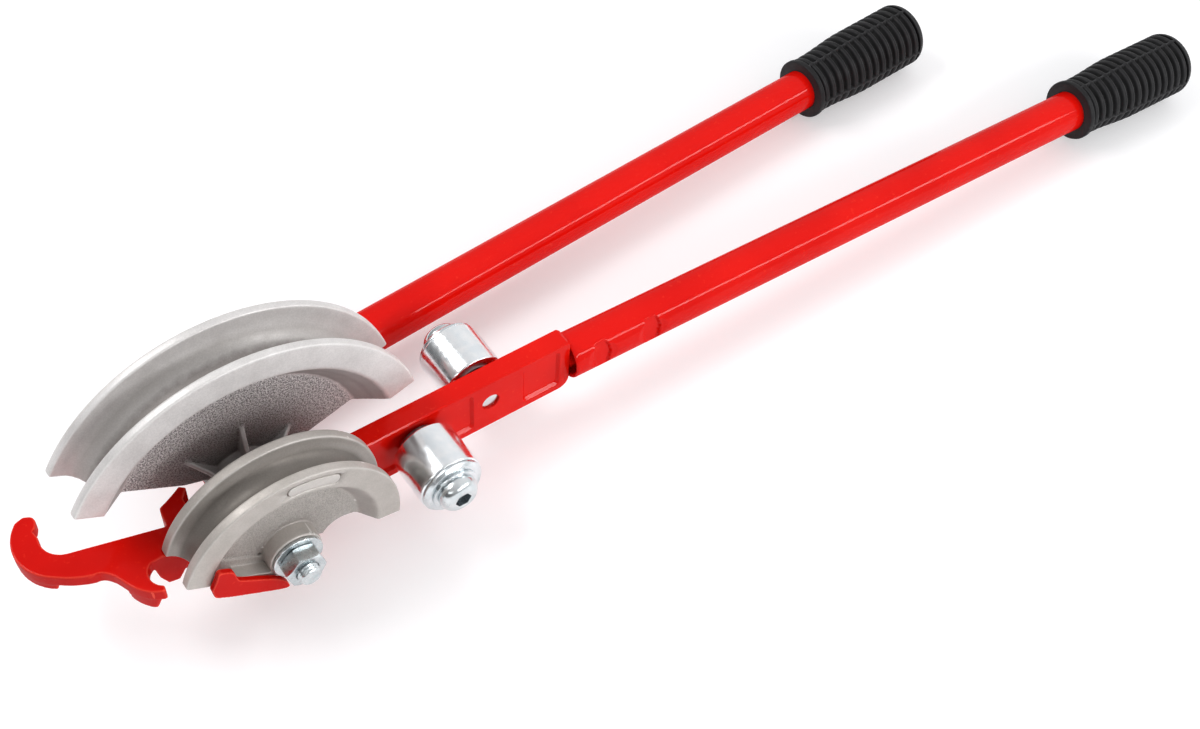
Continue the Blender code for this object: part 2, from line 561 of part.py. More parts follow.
def hook_frame(look, parent):
    plate = prism(hook_outline(), PLATE_TOP - PLATE_THICKNESS, PLATE_TOP, across="Z")
    made = finished("hook_frame", plate, look, parent)
    bevel(made, CASTING_ROUND, radians(60))

    combine(made, finished("deep_hook", deep_hook(), None, parent), "UNION")
    boss = prism(back_boss_outline(), PLATE_TOP - BACK_BOSS_DEPTH, INSIDE_PLATE, across="Z")
    combine(made, finished("back_boss", boss, None, parent), "UNION")

    # The rib between the formers that joins the plate to the eye and the foot
    cut_clear = -SMALL_CUT_DROP - SEAT_GAP
    rib_top = PLATE_TOP - CASTING_ROUND - 2 * CASTING_STEP
    foot_root = FOOT_TOP - OVERRUN
    lug_back = along_cut(FLANGE_LUG_START, cut_clear - FLANGE_LUG_DEPTH)
    lug_low = along_cut(FLANGE_LUG_START + FLANGE_LUG_WIDTH, cut_clear - FLANGE_LUG_DEPTH)
    lug_top = along_cut(FLANGE_LUG_END, cut_clear)[0] - FLANGE_LUG_WIDTH
    eye_side_share = 0.9
    eye_low_share = 0.3
    eye_side = EYE_RADIUS * eye_side_share
    eye_low = -EYE_RADIUS * eye_low_share
    rib = [
        (lug_top, rib_top), (ARM_END - CASTING_ROUND, rib_top), (-eye_side, eye_low), (eye_side, eye_low),
        (eye_side, foot_root), (FOOT_LEFT + OVERRUN, foot_root), lug_back, lug_low,
    ]
    shape = prism(rib, EYE_NEAR + CASTING_STEP, EYE_FAR - CASTING_STEP)
    combine(made, finished("rib", shape, None, parent), "UNION")
    eye = disc(EYE_RADIUS, EYE_NEAR, EYE_FAR, FINE_STEPS)
    combine(made, finished("frame_eye", eye, None, parent), "UNION")

    # The lug in the large former's near recess
    lug_shares = [
        (0.66, 0.36), (0.65, 0.60), (0.88, 0.88), (0.72, 1.02),
        (0.49, 0.89), (0.24, 0.77), (-0.02, 0.66), (-0.06, 0.50),
    ]
    lug = placed_shares((ARM_END, ARM_FAR), LUG_REACH, lug_shares)
    lug += [(ARM_END - OVERRUN, ARM_FAR - OVERRUN), (ARM_END - CASTING_STEP, ARM_FAR - OVERRUN)]
    shape = prism(lug, PLATE_TOP - LUG_DEPTH, PLATE_TOP - CASTING_STEP, across="Z")
    large_lug = finished("large_lug", shape, None, parent)
    bevel(large_lug, CASTING_ROUND)
    combine(made, large_lug, "UNION")

    # The lug under the small former's far flange, and the bar across below the cut to the toe
    knuckle_share = 0.86
    knuckle = along_cut(
        FLANGE_LUG_START + FLANGE_LUG_KNUCKLE, cut_clear - FLANGE_LUG_DEPTH * knuckle_share
    )
    under_plate = PLATE_TOP - CASTING_STEP
    flange_lug = [
        (lug_top, under_plate), (along_cut(FLANGE_LUG_END, cut_clear)[0], under_plate),
        along_cut(FLANGE_LUG_START, cut_clear), lug_back, lug_low, knuckle,
    ]
    shape = prism(flange_lug, FLANGE_LUG_NEAR, EYE_NEAR + OVERRUN)
    combine(made, finished("flange_lug", shape, None, parent), "UNION")
    toe_back = SMALL_NEAR_Y - SEAT_GAP
    bar_top = cut_clear - CASTING_STEP
    bar_low = bar_top - CROSSBAR_DEPTH
    crossbar = [
        along_cut(CROSSBAR_START, bar_top), along_cut(CROSSBAR_END, bar_top),
        along_cut(CROSSBAR_END, bar_low), along_cut(CROSSBAR_START, bar_low),
    ]
    shape = prism(crossbar, toe_back - OVERRUN, EYE_NEAR + OVERRUN / 2)
    combine(made, finished("crossbar", shape, None, parent), "UNION")
    toe_shares = [
        (1.0, -0.31), (1.01, -0.164), (1.03, -0.045), (0.95, -0.03), (0.84, -0.05), (0.73, -0.17),
        (0.66, -0.20), (0.45, -0.225), (0.20, -0.262), (0.05, -0.315), (-0.03, -0.375),
        (-0.03, -0.445), (0.40, -0.45), (0.86, -0.432), (0.95, -0.37),
    ]
    toe_outline = [along_cut(TOE_LENGTH * reach, TOE_LENGTH * rise) for reach, rise in toe_shares]
    toe = finished("toe", prism(toe_outline, SMALL_NEAR_Y - TOE_FRONT, toe_back), None, parent)
    bevel(toe, CASTING_ROUND)
    combine(made, toe, "UNION")

    # The foot under the hub: it rests on the ground, stops the lever and reaches across to the fixed handle
    foot = block((FOOT_LEFT, FOOT_NEAR, -PIVOT_HEIGHT), (FOOT_RIGHT, FOOT_FAR, FOOT_TOP))
    combine(made, finished("foot", foot, None, parent), "UNION")
    boss_start = FOOT_LEFT - FIXED_TUBE_START
    spigot = turned(
        [
            (0, boss_start), (FIXED_BOSS_RADIUS, boss_start), (FIXED_BOSS_RADIUS, -SEAT_GAP),
            (SPIGOT_RADIUS, -SEAT_GAP), (SPIGOT_RADIUS, SPIGOT_LENGTH), (0, SPIGOT_LENGTH),
        ],
        MEDIUM_STEPS,
    )
    combine(made, finished("fixed_spigot", spigot, None, parent, fixed_frame()), "UNION")
    bore = disc(BUSH_RADIUS + RUNNING_GAP + RUNNING_GAP, EYE_NEAR - OVERRUN, EYE_FAR + OVERRUN, FINE_STEPS)
    combine(made, finished("frame_bore", bore, None, parent), "DIFFERENCE")
    weld(made)


def crimp_depth(point, depth, spread):
    """How far the wall is pressed in at a point of its turned shape, before it is aimed along X."""
    deepest = 0.0
    for place in CRIMP_PLACES:
        facing = Vector((TUBE_RADIUS, place, 0))
        away = (Vector(point) - facing).length / spread
        if away < 1:
            deepest = max(deepest, depth * (1 - away * away))
    return deepest


def crimped(outline, steps, depth, spread):
    """A turned shape with the two crimps pressed into the side that faces the rollers' near side."""
    shape = turned(outline, steps)
    bmesh.ops.remove_doubles(shape, verts=shape.verts, dist=MERGE)
    for corner in shape.verts:
        radius = Vector((corner.co.x, 0, corner.co.z)).length
        if radius == 0:
            continue
        skin = Vector((corner.co.x / radius * TUBE_RADIUS, corner.co.y, corner.co.z / radius * TUBE_RADIUS))
        push = 1 - crimp_depth(skin, depth, spread) / radius
        corner.co.x *= push
        corner.co.z *= push
    return shape


def crimp_rings():
    """Places along the handle where its wall needs a ring of points to take the crimps' form."""
    shares = (-1.0, -0.72, -0.4, 0, 0.4, 0.72, 1.0)
    return [place + CRIMP_RADIUS * share for place in CRIMP_PLACES for share in shares]


def lever_bar(look, parent):
    half = BAR_THICKNESS / 2
    corner = (BAR_END - BAR_CORNER, BAR_BOTTOM + BAR_CORNER)
    outline = (
        [(BAR_START, BAR_TOP), (BAR_START, BAR_BOTTOM)]
        + arc(corner, BAR_CORNER, -pi / 2, 0, 4)
        + [(BAR_END, BAR_TOP - OVERRUN), (BAR_END - OVERRUN, BAR_TOP)]
    )
    made = finished("lever_bar", prism(outline, -half, half), look, parent)

    # The spigot that the handle is crimped onto
    spigot = [(0, -BAR_CORNER), (SPIGOT_RADIUS, -BAR_CORNER)]
    spigot += [(SPIGOT_RADIUS, place) for place in crimp_rings()]
    spigot += [(SPIGOT_RADIUS, SPIGOT_LENGTH), (0, SPIGOT_LENGTH)]
    shape = crimped(spigot, MEDIUM_STEPS, CRIMP_DEPTH + SEAT_GAP, CRIMP_RADIUS + OVERRUN)
    combine(made, finished("lever_spigot", shape, None, parent, lever_frame()), "UNION")

    # Shallow panels in both faces, either side of the pad round the far roller's screw
    for side in (-1, 1):
        face = side * half
        for start, end in ((LEFT_PANEL_START, LEFT_PANEL_END), (RIGHT_PANEL_START, RIGHT_PANEL_END)):
            near = min(face - side * PANEL_DEPTH, face + side * OVERRUN)
            far = max(face - side * PANEL_DEPTH, face + side * OVERRUN)
            panel = block((start, near, PANEL_BOTTOM), (end, far, PANEL_TOP))
            face_name = "near" if side < 0 else "far"
            end_name = "left" if start < RIGHT_PANEL_START else "right"
            combine(made, finished(f"panel_{face_name}_{end_name}", panel, None, parent), "DIFFERENCE")

    # The eye, beside the casting's own eye, and the neck that joins it to the bar
    low_share = 0.6
    back_share = 0.5
    down_share = 0.8
    neck = [
        (0, BAR_EYE_RADIUS - OVERRUN), (BAR_START + OVERRUN, BAR_TOP), (BAR_START + OVERRUN, BAR_BOTTOM),
        (BAR_START * low_share, BAR_BOTTOM), (-BAR_EYE_RADIUS * back_share, -BAR_EYE_RADIUS * down_share),
    ]
    combine(made, finished("neck", prism(neck, BAR_EYE_NEAR, half), None, parent), "UNION")
    eye = disc(BAR_EYE_RADIUS, BAR_EYE_NEAR, FORMER_GAP_FAR - 2 * SEAT_GAP, FINE_STEPS)
    combine(made, finished("bar_eye", eye, None, parent), "UNION")
    bore = disc(BUSH_RADIUS + RUNNING_GAP, BAR_EYE_NEAR - OVERRUN, FORMER_GAP_FAR, FINE_STEPS)
    combine(made, finished("bar_bore", bore, None, parent), "DIFFERENCE")

    # The two holes for the rollers' screws
    for name, x, z in (("near", NEAR_ROLLER_X, NEAR_ROLLER_Z), ("far", FAR_ROLLER_X, FAR_ROLLER_Z)):
        hole = disc(SCREW_RADIUS + SEAT_GAP, -half - OVERRUN, half + OVERRUN, SMALL_STEPS)
        place = Matrix.Translation((x, 0, z))
        combine(made, finished(f"{name}_screw_hole", hole, None, parent, place), "DIFFERENCE")
    weld(made)


def handle_tube(name, look, parent, frame, crimps):
    inner = TUBE_RADIUS - TUBE_WALL
    places = [0] + (crimp_rings() if crimps else []) + [TUBE_LENGTH]
    outline = [(TUBE_RADIUS, place) for place in places]
    outline += [(inner, place) for place in reversed(places)]
    if crimps:
        shape = crimped(outline, MEDIUM_STEPS, CRIMP_DEPTH, CRIMP_RADIUS)
    else:
        shape = turned(outline, MEDIUM_STEPS)
    return finished(name, shape, look, parent, frame)


def grip_radius(share):
    """The ribs' crest radius: a waist behind the front rim, full from the middle on."""
    waist_share = 0.08
    full_share = 0.5
    swell = min(1, max(0, (share - waist_share) / (full_share - waist_share)))
    smooth = swell * swell * (3 - 2 * swell)
    return GRIP_WAIST_RADIUS + (GRIP_FULL_RADIUS - GRIP_WAIST_RADIUS) * smooth


def grip(name, look, parent, frame):
    """A ribbed rubber grip with a rim in front and a rounded closed end."""
    bore = TUBE_RADIUS + SEAT_GAP
    start = TUBE_LENGTH + GRIP_REACH - GRIP_LENGTH
    end = start + GRIP_LENGTH
    outline = [
        (0, TUBE_LENGTH + SEAT_GAP), (bore, TUBE_LENGTH + SEAT_GAP), (bore, start),
        (GRIP_RIM_RADIUS, start), (GRIP_RIM_RADIUS, start + GRIP_RIM_LENGTH),
    ]
    pitch = (GRIP_LENGTH - GRIP_RIM_LENGTH - GRIP_END_ROUND) / GRIP_RIBS
    rib_shares = (0.2, 0.45, 0.95)
    middle_share = 0.5
    for index in range(GRIP_RIBS):
        foot = start + GRIP_RIM_LENGTH + pitch * index
        crest = grip_radius((index + middle_share) / GRIP_RIBS)
        groove, first, last = [foot + pitch * share for share in rib_shares]
        outline += [(crest - GRIP_GROOVE, groove), (crest, first), (crest, last)]
    dome = arc((0, 0), 1, radians(25), pi / 2, 4)[:-1]
    dome_foot = end - GRIP_END_ROUND
    outline += [(GRIP_FULL_RADIUS * across, dome_foot + GRIP_END_ROUND * up) for across, up in dome]
    outline += [(0, end)]
    return finished(name, turned(outline, SMALL_STEPS), look, parent, frame)


def hex_piece(name, low, high, chamfer_low, chamfer_high, look, parent):
    """A hexagon bar between two places along Y, its corners turned down at the ends asked for."""
    turn = Matrix.Rotation(-NUT_TURN, 4, "Y")
    bar = prism(hexagon(HEX_ACROSS_FLATS), low - OVERRUN, high + OVERRUN)
    made = finished(name, bar, look, parent, turn)
    wide = HEX_ACROSS_FLATS / 2 / cos(pi / 6) + OVERRUN
    flat = HEX_ACROSS_FLATS / 2
    outline = [(0, low)]
    outline += [(flat, low), (wide, low + HEX_CHAMFER)] if chamfer_low else [(wide, low)]
    outline += [(wide, high - HEX_CHAMFER), (flat, high)] if chamfer_high else [(wide, high)]
    outline += [(0, high)]
    combine(made, finished(name + "_turning", turned(outline, MEDIUM_STEPS), None, parent), "INTERSECT")
    return made


def pivot_stack(zinc, steel, parent):
    """The bolt with its head behind the large former, and the washers, bush and nut on it."""
    washer_far = LARGE_FAR_Y + SEAT_GAP
    head_low = washer_far + WASHER_THICKNESS + SEAT_GAP
    nut_far = SMALL_NEAR_Y - SEAT_GAP - WASHER_THICKNESS - SEAT_GAP
    nut_near = nut_far - NUT_HEIGHT
    bolt_near = nut_near - BOLT_END

    bolt = hex_piece("pivot_bolt", head_low, head_low + BOLT_HEAD_HEIGHT, False, True, zinc, parent)
    tip = BOLT_RADIUS - HEX_CHAMFER
    shank = turned(
        [
            (0, bolt_near), (tip, bolt_near), (BOLT_RADIUS, bolt_near + HEX_CHAMFER),
            (BOLT_RADIUS, head_low + OVERRUN), (0, head_low + OVERRUN),
        ],
        SMALL_STEPS,
    )
    combine(bolt, finished("pivot_shank", shank, None, parent), "UNION")

    near_washer = disc(
        WASHER_RADIUS, nut_far + SEAT_GAP, SMALL_NEAR_Y - SEAT_GAP, MEDIUM_STEPS, bore=BOLT_BORE
    )
    finished("nut_washer", near_washer, zinc, parent)
    far_washer = disc(
        WASHER_RADIUS, washer_far, washer_far + WASHER_THICKNESS, MEDIUM_STEPS, bore=BOLT_BORE
    )
    finished("head_washer", far_washer, zinc, parent)
    bush = disc(
        BUSH_RADIUS, FORMER_GAP_NEAR + SEAT_GAP, FORMER_GAP_FAR - SEAT_GAP, FINE_STEPS, bore=BOLT_BORE
    )
    finished("pivot_bush", bush, steel, parent)
    nut = hex_piece("pivot_nut", nut_near, nut_far, True, True, zinc, parent)
    thread = disc(BOLT_BORE, nut_near - OVERRUN, nut_far + OVERRUN, SMALL_STEPS)
    combine(nut, finished("nut_thread", thread, None, parent), "DIFFERENCE")


def side_frame(side):
    """Turns a piece made for the far side of the bar round to the near side."""
    return Matrix.Identity(4) if side > 0 else Matrix.Rotation(pi, 4, "Z")


def roller_set(name, side, spacer_length, axle, zinc, steel):
    """One roller with its spacer, bush, retaining ring, washer and button-head screw."""
    turn = side_frame(side)
    half = BAR_THICKNESS / 2
    spacer_low = half + SEAT_GAP
    spacer_high = spacer_low + spacer_length
    inner = spacer_high + SEAT_GAP
    outer = inner + ROLLER_LENGTH
    ring_low = outer + SEAT_GAP + SEAT_GAP
    washer_low = ring_low + RING_THICKNESS + SEAT_GAP
    head_low = washer_low + SCREW_WASHER_THICKNESS + SEAT_GAP
    screw_bore = SCREW_RADIUS + SEAT_GAP

    spacer = disc(SPACER_RADIUS, spacer_low, spacer_high, MEDIUM_STEPS, bore=screw_bore)
    finished(f"{name}_roller_spacer", spacer, steel, axle, turn)
    bush = disc(ROLLER_BUSH_RADIUS, inner, outer + SEAT_GAP, FINE_STEPS, bore=screw_bore)
    finished(f"{name}_roller_bush", bush, steel, axle, turn)
    roller_bore = ROLLER_BUSH_RADIUS + RUNNING_GAP
    shell = disc(ROLLER_RADIUS, inner, outer, FINE_STEPS, bore=roller_bore, chamfer=ROLLER_EDGE)
    finished(f"{name}_roller", shell, zinc, axle, turn)
    ring_high = ring_low + RING_THICKNESS
    ring = turned(
        [
            (screw_bore, ring_low), (RING_RADIUS, ring_low), (RING_RADIUS, ring_high - RING_BEVEL),
            (RING_RADIUS - RING_BEVEL, ring_high), (screw_bore, ring_high),
        ],
        MEDIUM_STEPS,
    )
    finished(f"{name}_retaining_ring", ring, zinc, axle, turn)
    washer = disc(
        SCREW_WASHER_RADIUS, washer_low, washer_low + SCREW_WASHER_THICKNESS, MEDIUM_STEPS, bore=screw_bore
    )
    finished(f"{name}_screw_washer", washer, zinc, axle, turn)

    # Button head: a short straight rim, then a dome down to the flat round the socket
    head_top = head_low + SCREW_HEAD_HEIGHT
    rim_share = 0.2
    flat_share = 0.68
    rim = SCREW_HEAD_HEIGHT * rim_share
    flat = SOCKET_ACROSS_FLATS * flat_share
    quarter = arc((0, 0), 1, 0, pi / 2, 5)
    dome_width = SCREW_HEAD_RADIUS - flat
    dome_height = SCREW_HEAD_HEIGHT - rim
    dome = [(flat + dome_width * across, head_low + rim + dome_height * up) for across, up in quarter]
    end = -half + SCREW_SHORT_OF_FACE
    outline = [(0, end), (SCREW_RADIUS, end), (SCREW_RADIUS, head_low), (SCREW_HEAD_RADIUS, head_low)]
    outline += dome + [(0, head_top)]
    screw = finished(f"{name}_roller_screw", turned(outline, MEDIUM_STEPS), zinc, axle, turn)
    socket = prism(hexagon(SOCKET_ACROSS_FLATS), head_top - SOCKET_DEPTH, head_top + OVERRUN)
    combine(screw, finished(f"{name}_socket", socket, None, axle, turn), "DIFFERENCE")


def build():
    clear_scene()
    red = material("red_paint", (0.72, 0.012, 0.008), 0.22)
    cast = material("cast_aluminium", (0.52, 0.50, 0.47), 0.55, 0.35)
    zinc = material("bright_zinc", (0.78, 0.80, 0.82), 0.18, 1.0)
    steel = material("plain_steel", (0.45, 0.45, 0.46), 0.35, 1.0)
    rubber = material("black_rubber", (0.012, 0.012, 0.013), 0.6)

    head = empty("head", (0, 0, PIVOT_HEIGHT))
    lever = empty("lever", (0, 0, 0), head)
    near_axle = empty("near_axle", (NEAR_ROLLER_X, 0, NEAR_ROLLER_Z), lever)
    far_axle = empty("far_axle", (FAR_ROLLER_X, 0, FAR_ROLLER_Z), lever)

    hook_frame(red, head)
    large_former(cast, head)
    small_former(cast, head)
    pivot_stack(zinc, steel, head)
    handle_tube("fixed_tube", red, head, fixed_frame(), False)
    grip("fixed_grip", rubber, head, fixed_frame())

    lever_bar(red, lever)
    handle_tube("lever_tube", red, lever, lever_frame(), True)
    grip("lever_grip", rubber, lever, lever_frame())
    roller_set("near", -1, NEAR_SPACER_LENGTH, near_axle, zinc, steel)
    roller_set("far", 1, FAR_SPACER_LENGTH, far_axle, zinc, steel)


build()
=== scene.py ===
"""The looks of the two-size pipe bender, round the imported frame.

Finer surfaces, materials, lights, floor and camera. Lengths are metres. The lever is drawn closed, and the
frame's bodies carry each piece to the other poses.
"""

from math import cos, exp, pi, radians, sin, sqrt, tan

import bmesh
import bpy
from mathutils import Matrix, Vector

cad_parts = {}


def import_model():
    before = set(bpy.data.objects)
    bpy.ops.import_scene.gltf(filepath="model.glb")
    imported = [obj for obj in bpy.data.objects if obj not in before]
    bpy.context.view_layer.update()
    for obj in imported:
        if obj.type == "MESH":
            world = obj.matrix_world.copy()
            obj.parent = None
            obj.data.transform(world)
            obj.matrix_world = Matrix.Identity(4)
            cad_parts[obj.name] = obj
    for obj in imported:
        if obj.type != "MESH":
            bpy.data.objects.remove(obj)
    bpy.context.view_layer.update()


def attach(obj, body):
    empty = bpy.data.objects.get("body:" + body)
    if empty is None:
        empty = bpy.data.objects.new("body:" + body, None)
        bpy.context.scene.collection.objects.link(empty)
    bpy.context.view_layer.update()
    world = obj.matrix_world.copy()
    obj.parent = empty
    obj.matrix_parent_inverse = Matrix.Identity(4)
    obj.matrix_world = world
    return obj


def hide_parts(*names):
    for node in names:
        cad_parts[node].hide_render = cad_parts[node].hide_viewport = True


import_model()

MM = 0.001

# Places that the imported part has, repeated here
PIVOT = Vector((0, 0, 43.0 * MM))
LARGE_BEND = 89.5 * MM
SMALL_BEND = 55.3 * MM
LARGE_GROOVE = 11.5 * MM
SMALL_GROOVE = 8.0 * MM
GAP_NEAR = -8.0 * MM
GAP_FAR = 8.8 * MM
LARGE_RIM = 96.0 * MM
LARGE_WIDTH = 32.35 * MM
LARGE_FACE = 80.5 * MM
LARGE_WEB = 65.0 * MM
LARGE_WEB_WALL = 4.6 * MM
LARGE_HUB = 17.5 * MM
LARGE_CUT_DROP = 6.3 * MM
LARGE_RIGHT_DROP = 7.7 * MM
LARGE_RIGHT_ANGLE = radians(18.7)
SMALL_RIM = 57.5 * MM
SMALL_WIDTH = 26.8 * MM
SMALL_FACE = 45.0 * MM
SMALL_WEB = 37.0 * MM
SMALL_WEB_WALL = 9.0 * MM
SMALL_HUB = 14.0 * MM
SMALL_CUT_DROP = 14.2 * MM
SMALL_RIGHT_ANGLE = radians(-8.8)
CUT_ANGLE = radians(148)
LARGE_MIDDLE = GAP_FAR + LARGE_WIDTH / 2
SMALL_MIDDLE = GAP_NEAR - SMALL_WIDTH / 2
LARGE_FAR = GAP_FAR + LARGE_WIDTH
SMALL_NEAR = GAP_NEAR - SMALL_WIDTH
SEAT = 0.3 * MM
SEAM = 0.2 * MM
OVERRUN = 2.0 * MM
BOLT = 5.9 * MM
BOLT_BORE = BOLT + SEAT
PLATE_TOP = 17.0 * MM
PLATE = 7.5 * MM
HOOK = 23.4 * MM
SMALL_HOOK = 14.0 * MM
THROAT_SHIFT = 1.0 * MM
LARGE_HOOK = (-LARGE_BEND, LARGE_MIDDLE)
LARGE_THROAT = (THROAT_SHIFT - LARGE_BEND, LARGE_MIDDLE)
SMALL_THROAT = (-57.8 * MM, SMALL_MIDDLE + 2.4 * MM)
ARM_END = -45.0 * MM
ARM_FAR = 2.0 * MM
EYE = 18.0 * MM
EYE_THICK = 7.35 * MM
EYE_NEAR = GAP_NEAR + 2 * SEAT
EYE_FAR = EYE_NEAR + EYE_THICK - SEAT
BELOW_CUT = -SMALL_CUT_DROP - SEAT
BAR = 11.8 * MM
BAR_TOP = 12.5 * MM
BAR_BOTTOM = -23.4 * MM
BAR_START = 20.0 * MM
BAR_END = 177.0 * MM
FOOT_TOP = BAR_BOTTOM - SEAT
FOOT_BOTTOM = -PIVOT.z
TUBE = 12.5 * MM
TUBE_WALL = 2.0 * MM
TUBE_LENGTH = 474.5 * MM
SPIGOT = TUBE - TUBE_WALL - SEAT
SPIGOT_LENGTH = 72.0 * MM
GRIP_START = 382.5 * MM
GRIP_LENGTH = 97.0 * MM
FIXED_ROOT = (49.5 * MM, 75.4 * MM, -18.8 * MM)
FIXED_SPLAY = radians(4.67)
FIXED_DROP = radians(0.44)
LEVER_ROOT = (178.5 * MM, 0, -6.2 * MM)
LEVER_DROP = radians(2.0)
NEAR_AXLE = Vector((84.5 * MM, 0, -3.5 * MM))
FAR_AXLE = Vector((128.5 * MM, 0, -3.6 * MM))
SCREW_BORE = 5.2 * MM
ROLLER_LENGTH = 26.6 * MM
NEAR_SPACER = 5.0 * MM
FAR_SPACER = 2.9 * MM
RING_THICK = 2.6 * MM
SCREW_WASHER = 1.2 * MM
SCREW_HEAD = 6.7 * MM
SCREW_STACK = BAR / 2 + ROLLER_LENGTH + RING_THICK + SCREW_WASHER + SCREW_HEAD + 6 * SEAT
NEAR_SCREW_TOP = SCREW_STACK + NEAR_SPACER
FAR_SCREW_TOP = SCREW_STACK + FAR_SPACER

# Forms that the scene shapes anew
LARGE_SWEEP = (radians(5), radians(160))
SMALL_SWEEP = (radians(-25), radians(170))
GUSSETS = (36.0 * MM, 37.5 * MM, 41.0 * MM)
GUSSET_FIRST = radians(32)
GUSSET_PITCH = radians(50)
GUSSET_THICK = 2.4 * MM
GUSSET_ROUND = 0.6 * MM
PAD_HALF = 2.9 * MM
PAD_HEIGHT = 0.3 * MM
PAD_ENDS = (radians(61.5), radians(85.5))
MOAT_HALF = 3.7 * MM
MOAT_DEPTH = 0.9 * MM
PAD_ROUND = 0.25 * MM
EDGE_RIBS = ((36.0 * MM, 7.2 * MM, 0.8 * MM), (29.0 * MM, 3.0 * MM, 8.4 * MM))
PANELS = ((30.0 * MM, 118.0 * MM), (148.5 * MM, 171.5 * MM))
PANEL_DEPTH = 1.55 * MM
PANEL_SLOPE = 1.5 * MM
PANEL_LOW = -18.4 * MM
PANEL_HIGH = 8.8 * MM
PANEL_ROUND = 2.4 * MM
CRIMPS = (17.0 * MM, 50.0 * MM)
CRIMP_FACING = radians(12)
CRIMP_HALF = 9.2 * MM
CRIMP_DEPTH = 3.0 * MM
DISH_HALF = 10.5 * MM
DISH_EASE = 5.0 * MM
DISH_DEPTH = 1.2 * MM

TURN_STEPS = 96
TUBE_STEPS = 144
SWEEP_STEP = radians(1.5)
CAST_VOXEL = 0.6 * MM
SMALL_VOXEL = 0.45 * MM
HOOK_VOXEL = 0.5 * MM
WELD = 0.001 * MM


# Meshes


def polygon_rounded(points, rounds, steps=4):
    """Rounds each corner of a closed outline by its own radius, and leaves corners with radius zero."""
    nearly_straight = pi - 0.05
    most = 0.48
    made = []
    for index, (point, radius) in enumerate(zip(points, rounds)):
        here = Vector(point)
        back = Vector(points[index - 1]) - here
        ahead = Vector(points[(index + 1) % len(points)]) - here
        if radius <= 0 or back.length == 0 or ahead.length == 0 or back.angle(ahead) > nearly_straight:
            made.append(tuple(here))
            continue
        reach = min(radius / tan(back.angle(ahead) / 2), back.length * most, ahead.length * most)
        start = here + back.normalized() * reach
        end = here + ahead.normalized() * reach
        for step in range(steps + 1):
            share = step / steps
            made.append(tuple(start.lerp(here, share).lerp(here.lerp(end, share), share)))
    return made


def arc(centre, radius, start, end, steps):
    angles = [start + (end - start) * step / steps for step in range(steps + 1)]
    return [(centre[0] + radius * cos(angle), centre[1] + radius * sin(angle)) for angle in angles]


def smoothed(points, steps=5):
    """A smooth open curve through points."""
    made = []
    last = len(points) - 1
    for index in range(last):
        before, here, after, later = [
            Vector(points[min(last, max(0, index + offset))]) for offset in (-1, 0, 1, 2)
        ]
        for step in range(steps):
            t = step / steps
            place = 2 * here + (after - before) * t
            place += (2 * before - 5 * here + 4 * after - later) * t * t
            place += (3 * here - before - 3 * after + later) * t * t * t
            made.append(tuple(place / 2))
    return made + [tuple(points[-1])]


def smooth_loop(points, steps=5):
    """A smooth closed curve through points."""
    return smoothed(points + points[:1], steps)[:-1]


def by_share(centre, size, shares):
    """Outline points given as shares of a size from a centre."""
    return [(centre[0] + size * across, centre[1] + size * along) for across, along in shares]


def ring(inner, outer, low, high):
    """The section of a plain ring about Y, or of a rod where the inner radius is zero."""
    return [(inner, low), (outer, low), (outer, high), (inner, high)]


def turned(outline, steps=TURN_STEPS):
    """Spins (radius, place) points about Y. An outline that stays off the axis closes round a bore."""
    shape = bmesh.new()
    corners = [shape.verts.new((radius, place, 0)) for radius, place in outline]
    edges = [shape.edges.new(pair) for pair in zip(corners, corners[1:])]
    if outline[0][0] > 0:
        edges.append(shape.edges.new((corners[-1], corners[0])))
    bmesh.ops.spin(shape, geom=corners + edges, cent=(0, 0, 0), axis=(0, 1, 0), angle=2 * pi, steps=steps)
    bmesh.ops.remove_doubles(shape, verts=shape.verts, dist=WELD)
    return shape


def swept(outline, start, end):
    """Sweeps a closed (radius, place) section about Y from one angle above +X to another, with flat ends."""
    shape = bmesh.new()
    corners = [
        shape.verts.new((radius * cos(start), place, radius * sin(start))) for radius, place in outline
    ]
    edges = [shape.edges.new(pair) for pair in zip(corners, corners[1:] + corners[:1])]
    angle = end - start
    steps = round(angle / SWEEP_STEP)
    bmesh.ops.spin(shape, geom=corners + edges, cent=(0, 0, 0), axis=(0, -1, 0), angle=angle, steps=steps)
    bmesh.ops.remove_doubles(shape, verts=shape.verts, dist=WELD)
    bmesh.ops.holes_fill(shape, edges=[edge for edge in shape.edges if edge.is_boundary], sides=0)
    return shape


def prism(outline, low, high, across="Y"):
    """Extrudes an outline: (x, z) points across Y, or (x, y) points across Z."""
    shape = bmesh.new()
    if across == "Y":
        corners = [shape.verts.new((first, low, second)) for first, second in outline]
        travel = Vector((0, high - low, 0))
    else:
        corners = [shape.verts.new((first, second, low)) for first, second in outline]
        travel = Vector((0, 0, high - low))
    grown = bmesh.ops.extrude_face_region(shape, geom=[shape.faces.new(corners)])["geom"]
    moved = [item for item in grown if isinstance(item, bmesh.types.BMVert)]
    bmesh.ops.translate(shape, vec=travel, verts=moved)
    return shape


def lofted(rings):
    """A solid with its skin over rings of points, one after the other, and flat ends."""
    shape = bmesh.new()
    loops = [[shape.verts.new(point) for point in points] for points in rings]
    for first, second in zip(loops, loops[1:]):
        for index, corner in enumerate(first):
            shape.faces.new((first[index - 1], corner, second[index], second[index - 1]))
    shape.faces.new(loops[0])
    shape.faces.new(loops[-1])
    return shape


def hexagon(across_flats):
    return arc((0, 0), across_flats / 2 / cos(pi / 6), 0, 5 * pi / 3, 5)


